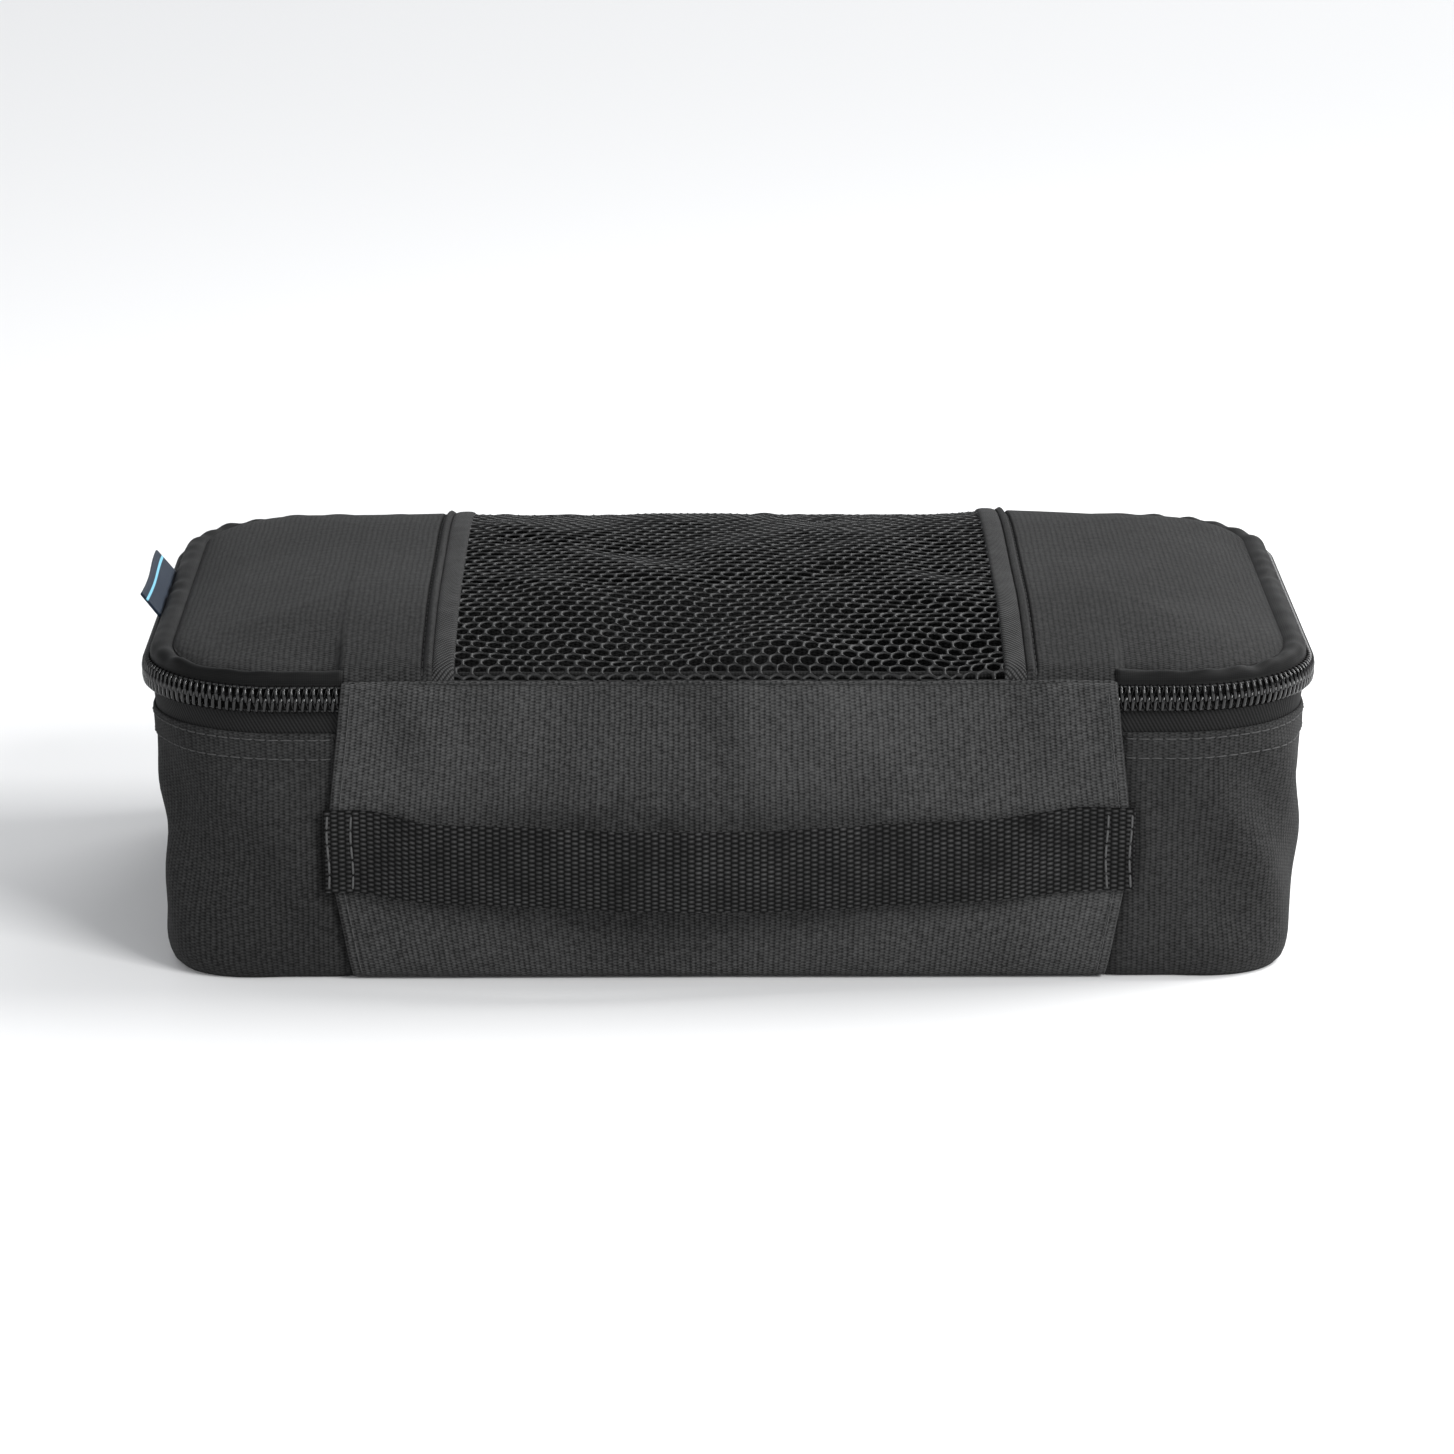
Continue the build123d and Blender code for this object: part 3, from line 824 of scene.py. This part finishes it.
def base_panel():
    """Flat base, from rings drawn in to a line along its middle."""
    s = np.linspace(0, RIM_LENGTH, 300, endpoint=False)
    place, normal = rim(s)
    outer = place - normal * (TAPER + BASE_ROLL - 0.4 * MM - square(normal, 0))[:, None]
    core = np.stack([np.clip(outer[:, 0], -CORE_HALF, CORE_HALF), outer[:, 1] * 0], -1)
    rings = []
    for t in np.linspace(0, 1, 26) ** 1.1:
        ring = outer + (core - outer) * min(t, 0.995)
        flat = joined(ring[:, 0], ring[:, 1], 0.0)
        lift = 0.25 * MM + 0.22 * MM * np.clip(ripple(flat, 40 * MM, 41), -1, 1) * min(1, 6 * t)
        rings.append(joined(ring[:, 0], ring[:, 1], lift))
    points = np.array(rings)
    piece = sheet_of("base_panel_cloth", points, points[..., :2], flip=True, wrap=True)
    return finish(piece, WALL, "body", "panel_fabric", "base_panel")


# ---------------------------------------------------------------- lid
def lid_strip(side, x, rise, ease):
    """Cloth of the lid from front to back, at steps x from the middle, raised away from its ends."""
    along = spaced(LID_ROWS, LID_LENGTH)[:, None]
    points = lid_point(side * x[None], along)
    points[..., 2] += rise[None] * np.minimum(1, np.minimum(along, LID_LENGTH - along) / ease)
    return points, joined(x[None], along)


def lid_panel(side, name):
    """Lid panel from the window's edge to the zip tape, with a topstitched fold inside."""
    corner_x = WALL_X - CORNER
    inner = BINDING_END - 1.4 * MM
    edge_cols = [0, 0, 0.25, 0.6, 1.0, 1.4, 1.75, 2.0, 2.2, 2.4, 2.6, 2.9, 3.3, 3.9, 4.8]
    edge_cols = inner + np.array(edge_cols) * MM
    plain = np.union1d(np.linspace(inner + 6 * MM, corner_x, 22), np.linspace(89 * MM, 94 * MM, 16))
    turned = corner_x + (LID_X - corner_x) * np.sin(np.linspace(0, pi / 2, 26)[1:])
    x = np.concatenate([edge_cols, plain, turned])
    from_edge = x - inner
    ridge = 0.75 * np.exp(-((from_edge - 1.0 * MM) / (0.75 * MM)) ** 2)
    groove = -1.1 * np.exp(-((from_edge - 2.3 * MM) / (0.38 * MM)) ** 2)
    rise = (0.6 * np.exp(-from_edge / (14 * MM)) + ridge + groove) * MM
    points, uv = lid_strip(side, x, rise, 3 * MM)
    points[:, 0, 2] -= 1.2 * MM
    piece = sheet_of(f"lid_{name}_panel_cloth", points, uv, flip=side < 0, thickness=LID_CLOTH)
    return finish(piece, LID, "lid", "panel_fabric", f"lid_{name}_panel")


def window_binding(side, name):
    """Bias-cut edging between the net and the panel."""
    x = WINDOW_HALF + np.array([-0.6, -0.6, -0.3, 0.3, 1.2, 2.4, 3.4, 4.2, 4.7, 5.1, 5.6, 6.6]) * MM
    rise = np.array([-0.6, 0.2, 0.75, 0.95, 1.0, 0.95, 0.85, 0.6, 0.1, -0.3, -0.4, -0.4]) * MM
    points, uv = lid_strip(side, x, rise, 2 * MM)
    points[..., 2] += 0.05 * MM
    piece = sheet_of(f"window_binding_{name}_cloth", points, uv, flip=side < 0, thickness=EDGING_CLOTH)
    return finish(piece, BIAS, "lid", "panel_fabric", f"window_binding_{name}")


# Rings of each cord, from the cell's edge to its hole and back: share of the way, and height in mm.
NET_CORD = ((0, 0.3), (0.5, 0.24), (1, 0.0), (0.5, -0.24), (0, -0.3))
NET_SIDES = 12


def net_window():
    """Knitted hexagonal net: each cell is a ring round its own hole."""
    half = WINDOW_HALF + 1.5 * MM
    row_pitch = NET_CELL * sqrt(3) / 2
    rows = int(LID_LENGTH / row_pitch) + 1
    cols = int(2 * half / NET_CELL) + 2
    step = np.arange(NET_SIDES)
    angle = radians(30) + step * 2 * pi / NET_SIDES
    corner = NET_CELL / sqrt(3) * np.where(step % 2, sqrt(3) / 2, 1.0)
    hole = NET_CELL * np.stack([0.405 * np.cos(angle), 0.45 * np.sin(angle)])
    outer = corner * np.stack([np.cos(angle), np.sin(angle)])
    knot = 1 + 0.9 * np.abs(np.cos(angle)) ** 6
    rng = np.random.default_rng(5)
    points, faces, index = [], [], 0
    for row in range(rows + 1):
        for col in range(cols + 1):
            cx = (col - cols / 2 + 0.5 * (row % 2)) * NET_CELL
            cy = row * row_pitch
            if abs(cx) > half + 0.5 * NET_CELL:
                continue
            jitter = rng.normal(0, 0.05 * MM, 2)
            size = 1 + rng.normal(0, 0.05)
            rings = []
            for share, lift in NET_CORD:
                ring = outer * (1 - share) + hole * share * size + jitter[:, None] * (share == 1)
                rings.append(np.stack([cx + ring[0], cy + ring[1], lift * MM * knot], -1))
            points.append(np.array(rings).reshape(-1, 3))
            faces.append(grid_faces(len(NET_CORD), NET_SIDES, wrap=True) + index)
            index += len(NET_CORD) * NET_SIDES
    points, faces = np.concatenate(points), np.concatenate(faces)
    wander = 0.35 * MM
    flat = joined(points[:, 0], points[:, 1], 0.0)
    x = points[:, 0] + wander * ripple(flat, 16 * MM, 51)
    along = np.clip(points[:, 1] + wander * ripple(flat, 16 * MM, 52), 0.1 * MM, LID_LENGTH - 0.1 * MM)
    x = np.clip(x, -half, half)
    placed = lid_point(x, along)
    placed[:, 2] += points[:, 2]
    piece = build("mesh_window_net", placed, faces, flip=True)
    weld = piece.modifiers.new("weld", "WELD")
    weld.merge_threshold = 0.01 * MM
    return finish(piece, NET, "lid", "mesh_net", "mesh_window")


def rim_band():
    """Upper zip tape rolled over the lid's edge: the black band round the rim."""
    s = np.linspace(FRONT_EDGE, RIM_LENGTH - FRONT_EDGE, 520)
    place, normal = rim(s)
    inset = tape_inset(place[:, 0], place[:, 1])
    top = seam_height(place[:, 1])
    corner = 2 * np.abs(normal[:, 0] * normal[:, 1])
    gather = (0.13 + 0.17 * corner) * MM * ripple_along(s, 10 * MM, 61)
    t = np.linspace(0, 1, 12)[:, None]
    low_z = CHAIN_Z + 3.2 * MM
    ends = [
        (0.30 * MM, low_z),
        (0.9 * MM, low_z + 3.2 * MM),
        (-inset * 0.55, top + 1.9 * MM),
        (-inset - 0.6 * MM, top - 0.9 * MM),
    ]
    weights = [(1 - t) ** 3, 3 * t * (1 - t) ** 2, 3 * t ** 2 * (1 - t), t ** 3]
    out = sum(w * e[0] for w, e in zip(weights, ends)) + gather * np.sin(pi * t) * 0.5
    z = sum(w * e[1] for w, e in zip(weights, ends)) + gather * np.sin(pi * t)
    under = [(-0.45, 0.5), (-0.35, 2.0), (0.1, 2.9), (0.5, 3.05)]
    rows = [on_rim(s, out_by * MM, CHAIN_Z + up_by * MM) for out_by, up_by in under]
    rows += [on_rim(s, out[i], z[i]) for i in range(len(t))]
    rows.append(on_rim(s, -inset - 1.4 * MM, top - 0.3 * MM))
    rows.append(on_rim(s, -inset - 3.0 * MM, top + 0.45 * MM))
    piece = sheet_of("upper_zip_band", np.array(rows), thickness=TAPE_CLOTH)
    return finish(piece, RIM, "lid", "zip_tape", "upper_zip_tape")


# ---------------------------------------------------------------- zip
def lower_tape():
    s = np.linspace(ZIP_START, RIM_LENGTH - ZIP_START, 420)
    out = np.array([-1.1, -0.75, -0.5, -0.3, -0.25, -0.35, -0.45]) * MM
    under_coil = CHAIN_Z - np.array([6.2, 4.4, 3.2, 2.0, 0.5]) * MM
    z = np.concatenate([[GUSSET_TOP - 3 * MM, GUSSET_TOP], under_coil])
    points = on_rim(s[None], out[:, None], z[:, None])
    piece = sheet_of("lower_zip_tape_cloth", points, thickness=TAPE_CLOTH)
    return finish(piece, TAPE, "body", "zip_tape", "lower_zip_tape")


def coil(side, name, body):
    """Half of the zip, a loop of nylon filament for each tooth.

    A loop leaves the tape, turns round at its head and comes back to the next tooth's foot.
    """
    start, end = FRONT_EDGE + 0.2 * MM, RIM_LENGTH - FRONT_EDGE - 0.6 * MM
    count = int((end - start) / TOOTH_PITCH)
    s = start + TOOTH_PITCH * (np.arange(count) + (0.5 if side > 0 else 0.0))
    ahead = np.array([0.0, 0.02, 0.06, 0.14, 0.22, 0.30, 0.38, 0.50, 0.72, 1.0]) * TOOTH_PITCH
    out = np.array([0.25, 1.15, 1.75, 1.95, 1.85, 1.30, 0.75, 0.50, 0.40, 0.25]) * MM
    down = np.array([3.0, 2.9, 2.3, 0.9, -0.25, -0.55, -0.3, 0.6, 2.0, 3.0]) * MM
    radius = np.array([0.32, 0.38, 0.45, 0.49, 0.52, 0.50, 0.44, 0.36, 0.32, 0.30]) * MM
    paths = on_rim(s[:, None] + ahead, out[None], CHAIN_Z + side * down[None])
    normal = rim(s[:, None] + ahead)[1]
    points, faces = bars(paths, radius, joined(-normal[..., 1], normal[..., 0], 0.0), sides=7)
    piece = build(f"{name}_zip_coil_teeth", points, faces)
    return finish(piece, COIL, body, "zip_coil", f"{name}_zip_coil")


def coil_cord(side, name, body):
    """Sewing thread that holds the coil down, a fine ridge along its outer edge."""
    s = np.linspace(FRONT_EDGE, RIM_LENGTH - FRONT_EDGE, 2400)
    line = on_rim(s, 0.45 * MM, CHAIN_Z + side * 2.75 * MM)
    piece = stitches(f"{name}_zip_thread", line, rim_normal(s), length=1.5 * MM, gap=0.25 * MM,
                     radius=0.22 * MM, lift=0.3 * MM)
    return finish(piece, SEAM_THREAD, body, "thread")


# ---------------------------------------------------------------- handle
def bow(x):
    """How far the slack webbing stands off the panel."""
    left = np.clip((x + STRAP_SPAN) / (STRAP_CROWN_X + STRAP_SPAN), 0, 1)
    right = np.clip((STRAP_SPAN - x) / (STRAP_SPAN - STRAP_CROWN_X), 0, 1)
    t = np.where(x < STRAP_CROWN_X, left, right)
    return STRAP_BOW * np.sin(t * pi / 2) ** np.where(x < STRAP_CROWN_X, 1.25, 1.15)


def strap():
    """Handle: flat sewn ends and slack webbing between, cut in halves at its crown."""
    x = np.concatenate([
        np.linspace(-SEWN_SPAN, -STRAP_SPAN, 8),
        np.linspace(-STRAP_SPAN, STRAP_CROWN_X, 60)[1:],
        np.linspace(STRAP_CROWN_X, STRAP_SPAN, 90)[1:-1],
        np.linspace(STRAP_SPAN, SEWN_SPAN, 8),
    ])
    width = STRAP_HIGH[2] - STRAP_LOW[2]
    across_mm = np.array([0, 0.25, 0.9, 2.2, 4, 6.5, 9, 11, 13.5, 16, 17.8, 19.1, 19.75, 20])
    w = across_mm[:, None] / across_mm[-1]
    z = STRAP_LOW[2] + width * w
    share = (x / panel_half(z.mean()))[None]
    face = front_base(share, z)[..., 1]
    held = front_base(share, np.full_like(z, z.mean()))[..., 1]
    lift = bow(x)[None]
    slack = smooth(0, 4 * MM, lift)
    y = face * (1 - slack) + (held - 0.5 * MM) * slack - 1.35 * MM - lift
    cupped = (w - 0.45) ** 2 * 7 * MM * slack
    twisted = 0.5 * MM * slack * np.sin(x / (31 * MM))[None] * (2 * w - 1)
    y = y + cupped + twisted
    y = y - 0.16 * MM * np.exp(-(np.minimum(w, 1 - w) * 20) ** 2)
    sag = slack * (1.9 + 0.5 * w) * MM + 0.25 * MM * np.sin(x / (19 * MM) + 1)[None]
    points = joined(x, y, z - sag)
    run = running(joined(x, bow(x)))
    uv = joined(run[None], w * width)
    whole = sheet_of("handle_strap_whole", points, uv, thickness=WEBBING_CLOTH)
    bpy.context.view_layer.update()
    apply_modifiers(whole)
    halves = []
    for side, name in ((-1, "left"), (1, "right")):
        piece = cut(whole, side, STRAP_CROWN_X, f"handle_strap_{name}")
        piece.data.materials.append(WEBBING)
        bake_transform(piece)
        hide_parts("handle_strap", f"handle_end_{name}")
        halves.append(piece)
    bpy.data.objects.remove(whole)
    return halves


def cut(piece, side, x, name):
    """One side of a piece, shaded as if it were still whole."""
    normals = np.zeros(3 * len(piece.data.vertices))
    piece.data.vertices.foreach_get("normal", normals)
    mesh = piece.data.copy()
    mesh.attributes.new("whole", "FLOAT_VECTOR", "POINT").data.foreach_set("vector", normals)
    half = bmesh.new()
    half.from_mesh(mesh)
    other = [f for f in half.faces if side * (f.calc_center_median().x - x) < 0]
    bmesh.ops.delete(half, geom=other, context="FACES")
    half.to_mesh(mesh)
    half.free()
    kept = np.zeros(3 * len(mesh.vertices))
    mesh.attributes["whole"].data.foreach_get("vector", kept)
    mesh.attributes.remove(mesh.attributes["whole"])
    mesh.normals_split_custom_set_from_vertices(kept.reshape(-1, 3).tolist())
    return put(name, mesh)


def apply_modifiers(piece):
    """Makes the modified shape the piece's own mesh."""
    shape = piece.evaluated_get(bpy.context.evaluated_depsgraph_get())
    mesh = bpy.data.meshes.new_from_object(shape)
    piece.modifiers.clear()
    piece.data = mesh


def handle_stitches(tree, side, name):
    """Two rows of pale thread across the webbing's sewn end."""
    for row, inward in (("outer", 1.0 * MM), ("inner", 6.6 * MM)):
        x = side * (SEWN_SPAN - inward)
        z = np.linspace(STRAP_LOW[2] + 0.8 * MM, STRAP_HIGH[2] - 0.8 * MM, 40)
        wander = 0.25 * MM * np.sin(z / (3.1 * MM) + side)
        line = joined(x + wander, -WALL_Y, z)
        sewn(tree, f"handle_thread_{name}_{row}", line, FORWARD, THREAD, "body", "handle_stitching",
             length=2.9 * MM, radius=0.26 * MM)


# ---------------------------------------------------------------- hinge seam and label
def hinge_seam():
    """Rolled seam along the fabric hinge, lying on the hinge's own axis."""
    x = np.linspace(-PANEL_TOP_HALF, PANEL_TOP_HALF, 260)
    y = HINGE_Y + 0.08 * MM * ripple_along(x, 14 * MM, 71) + 0.85 * MM
    z = HINGE_Z + 0.08 * MM * ripple_along(x, 17 * MM, 72) - 0.3 * MM
    paths = joined(x, y, z)[None]
    radius = np.full(len(x), 0.62 * MM)
    radius[[0, -1]] = 0.3 * MM
    sides = 10
    points, faces = bars(paths, radius, (0, 0, 1), sides)
    uv = joined(x[:, None], (np.arange(sides) * 0.4 * MM)[None])
    return finish(build("hinge_seam", points, faces, uv), PANEL, "body", "panel_fabric")


def label():
    """Blank folded tab on the zip band, left side, standing out and up."""
    lo, hi = low("side_label"), high("side_label")
    y = np.linspace(lo[1], hi[1], 40)
    foot = np.array([hi[0] - 0.2 * MM, lo[2] + 0.2 * MM])
    tip = np.array([lo[0] + 0.5 * MM, hi[2] - 0.4 * MM])
    rise = tip - foot
    half_gap = 0.33 * MM
    side = half_gap * np.array([rise[1], -rise[0]]) / np.linalg.norm(rise)
    up = [foot + rise * t + side for t in np.linspace(0, 0.96, 9)]
    fold = [tip + side * np.cos(a) + rise * 0.04 * np.sin(a) for a in np.radians(range(30, 151, 30))]
    back = [foot + rise * t - side for t in np.linspace(0.96, 0, 9)]
    loop = np.array(up + fold + back)
    wave = 0.35 * MM * np.sin((y - lo[1]) / (9 * MM))
    reach = np.linalg.norm(loop - foot, axis=1) / np.linalg.norm(rise)
    x = loop[:, :1] + wave[None] * reach[:, None]
    points = joined(x, y, loop[:, 1:])
    piece = sheet_of("side_label_cloth", points, thickness=LABEL_CLOTH)
    return finish(piece, LABEL, "lid", "label", "side_label")


# ---------------------------------------------------------------- sliders and pulls
def casting(node, round_off):
    """A cast part with its edges rounded."""
    cast = bmesh.new()
    cast.from_mesh(frame["nodes"][node].data)
    bmesh.ops.remove_doubles(cast, verts=cast.verts, dist=0.005 * MM)
    bmesh.ops.dissolve_limit(cast, angle_limit=radians(1.5), verts=cast.verts, edges=cast.edges)
    mesh = bpy.data.meshes.new(f"{node}_cast")
    cast.to_mesh(mesh)
    cast.free()
    mesh.polygons.foreach_set("use_smooth", [True] * len(mesh.polygons))
    piece = put(f"{node}_cast", mesh)
    bevel = piece.modifiers.new("round", "BEVEL")
    bevel.width = round_off
    bevel.segments = 3
    bevel.limit_method = "ANGLE"
    bevel.angle_limit = radians(35)
    bevel.harden_normals = True
    return finish(piece, METAL, node, "slider_metal", node)


def grip(node, side):
    """Raised ridges across the outer face of a pull, towards its free end."""
    lo, hi = low(node), high(node)
    end = hi[0] if side > 0 else lo[0]
    x = end - side * (7.5 + 1.5 * np.arange(6)) * MM
    z = np.linspace(lo[2] + 1.3 * MM, hi[2] - 1.3 * MM, 9)
    paths = joined(x[:, None], hi[1] - 0.06 * MM, z[None])
    radius = np.array([0.1, 0.24, 0.3, 0.3, 0.3, 0.3, 0.3, 0.24, 0.1]) * MM
    points, faces = bars(paths, radius, (0, 1, 0), sides=8)
    return finish(build(f"{node}_grip", points, faces), METAL, node, "slider_metal")


# ---------------------------------------------------------------- inside bindings
TAPE_SIDES = 12


def ring_binding(name, body, node, inset, z, width, height):
    """Narrow tape folded over a raw edge, all the way round."""
    s = np.linspace(0, RIM_LENGTH, 360, endpoint=False)
    turn = np.linspace(0, 2 * pi, TAPE_SIDES, endpoint=False)
    out = -inset - width / 2 + width / 2 * np.sign(np.cos(turn)) * np.abs(np.cos(turn)) ** 0.6
    lift = z + height / 2 + height / 2 * np.sign(np.sin(turn)) * np.abs(np.sin(turn)) ** 0.6
    waver = 0.25 * MM * ripple_along(s, 12 * MM, 81)
    points = on_rim(s[:, None], out[None] + waver[:, None], lift[None])
    faces = grid_faces(len(s), TAPE_SIDES, wrap=True).tolist()
    last = (len(s) - 1) * TAPE_SIDES
    for j in range(TAPE_SIDES):
        k = (j + 1) % TAPE_SIDES
        faces.append([last + j, last + k, k, j])
    uv = joined(s[:, None], (np.arange(TAPE_SIDES) * width / 5)[None])
    return finish(build(name, points, faces, uv), SEAM_TAPE, body, "seam_binding", node)


def upright_binding(name):
    """The same tape up the join of the gusset and the front panel."""
    lo, hi = low(f"front_seam_binding_{name}"), high(f"front_seam_binding_{name}")
    z = np.linspace(lo[2], hi[2], 30)
    x = (lo[0] + hi[0]) / 2 + 0.3 * MM * np.sin(z / (6 * MM))
    y = -WALL_Y + lean(z) + 3.4 * MM
    paths = joined(x, y, z)[None]
    points, faces = bars(paths, 2.0 * MM, (0, 1, 0), sides=TAPE_SIDES, flat=0.35)
    uv = joined(z[:, None], (np.arange(TAPE_SIDES) * 0.9 * MM)[None])
    piece = build(f"front_binding_{name}_tape", points, faces, uv)
    return finish(piece, SEAM_TAPE, "body", "seam_binding", f"front_seam_binding_{name}")


# ---------------------------------------------------------------- camera, light and floor
CUBE_MIDDLE = Vector((0, 0, 41 * MM))
VIEW_DISTANCE = 1.467
VIEW_HEIGHT = radians(14.9)
VIEW_TURN = radians(-0.4)
LENS = 146
FLOOR_HALF, FLOOR_STEPS = 2.4, 9


def camera():
    data = bpy.data.cameras.new("camera")
    data.lens = LENS
    data.clip_start = 0.05
    item = put("camera", data)
    flat, up = VIEW_DISTANCE * np.cos(VIEW_HEIGHT), VIEW_DISTANCE * np.sin(VIEW_HEIGHT)
    away = Vector((flat * np.sin(VIEW_TURN), -flat * np.cos(VIEW_TURN), up))
    item.location = CUBE_MIDDLE + away
    item.rotation_euler = (-away).to_track_quat("-Z", "Y").to_euler()
    bpy.context.scene.camera = item


def lamp(name, place, target, size, power):
    """A square lamp, size metres across, shining towards a target."""
    data = bpy.data.lights.new(name, "AREA")
    data.shape = "RECTANGLE"
    data.size = data.size_y = size
    data.energy = power
    item = put(name, data)
    item.location = place
    item.rotation_euler = (Vector(target) - Vector(place)).to_track_quat("-Z", "Y").to_euler()


def studio():
    lamp("key", (2.1, -2.2, 1.9), CUBE_MIDDLE, size=1.4, power=110)
    lamp("fill", (-1.8, -2.8, 1.4), CUBE_MIDDLE, size=2.0, power=32)
    lamp("top", (0.62, 0.12, 0.58), CUBE_MIDDLE, size=0.4, power=6.5)
    lamp("back", (1.4, 2.8, 2.2), (0.2, 0.9, 0), size=2.0, power=45)
    bpy.context.scene.view_settings.view_transform = "Standard"
    world = bpy.data.worlds.new("studio")
    bpy.context.scene.world = world
    world.use_nodes = True
    sky = world.node_tree.nodes["Background"]
    sky.inputs["Color"].default_value = (0.95, 0.97, 1.0, 1)
    sky.inputs["Strength"].default_value = 0.55
    steps = np.linspace(-FLOOR_HALF, FLOOR_HALF, FLOOR_STEPS)
    x, y = np.meshgrid(steps, steps)
    floor = build("floor", joined(x, y, 0.0), grid_faces(FLOOR_STEPS, FLOOR_STEPS))
    paint = Paint("floor", roughness=0.55, specular=0.3)
    paint.shader.inputs["Base Color"].default_value = (0.82, 0.82, 0.82, 1)
    floor.data.materials.append(paint.material)


# ---------------------------------------------------------------- assembly
def hem_row(tree, name, z):
    """A row of stitches round the gusset at a height."""
    s = np.linspace(ZIP_START + 6 * MM, RIM_LENGTH - ZIP_START - 6 * MM, 900)
    return sewn(tree, name, on_rim(s, 0, z), rim_normal(s), SEAM_THREAD, "body", radius=HEM_THREAD)


def wall_sheets(walls):
    """The tapes and thread on the walls and base."""
    base_tape = ring_binding("base_binding_tape", "body", "base_seam_binding", inset=10.6 * MM,
                             z=1.1 * MM, width=3.2 * MM, height=1.6 * MM)
    lid_tape = ring_binding("lid_binding_tape", "lid", "lid_seam_binding", inset=5.6 * MM,
                            z=LID_SEAM_Z - 3.4 * MM, width=3.0 * MM, height=1.4 * MM)
    tape = lower_tape()
    tree = surface_of(walls)
    hem = [hem_row(tree, "hem_thread_upper", GUSSET_TOP - 1.6 * MM),
           hem_row(tree, "hem_thread_lower", GUSSET_TOP - HEM + 0.6 * MM)]
    rim_band()


def one_side(side, name, front_tree, strap_half):
    """Lid panel, edging, thread and zip slider of the left or right side."""
    panel = lid_panel(side, name)
    edging = window_binding(side, name)
    handle_stitches(surface_of(strap_half), side, name)
    upright_binding(name)
    z = np.linspace(2 * MM, HINGE_Z - 2 * MM, 60)
    line = front_point(side * (1 - 2.2 * MM / panel_half(z)), z)
    front_thread = sewn(front_tree, f"front_edge_thread_{name}", line, FORWARD, SEAM_THREAD, "body",
                        radius=EDGE_THREAD)
    along = np.linspace(2 * MM, LID_LENGTH - 2 * MM, 300)
    line = lid_point(np.full_like(along, side * (BINDING_END + 0.9 * MM)), along)
    lid_thread = sewn(surface_of(panel), f"binding_thread_{name}", line, LID_UP, SEAM_THREAD, "lid",
                      radius=EDGE_THREAD)
    casting(f"{name}_slider", 0.3 * MM)
    casting(f"{name}_pull", 0.25 * MM)
    grip(f"{name}_pull", side)
    return edging, front_thread


LID_FIELD, GUSSET_FIELD, FRONT_FIELD = lid_field(), gusset_field(), front_field()


def main():
    camera()
    studio()
    walls = gusset()
    front = front_panel()
    base = base_panel()
    front_tree = surface_of(front)
    strap_halves = strap()
    wall_sheets(walls)
    left_edging, left_thread = one_side(-1, "left", front_tree, strap_halves[0])
    right_edging, right_thread = one_side(1, "right", front_tree, strap_halves[1])
    net_window()
    for make in (coil, coil_cord):
        make(1, "upper", "lid")
        make(-1, "lower", "body")
    hinge_seam()
    label()


main()
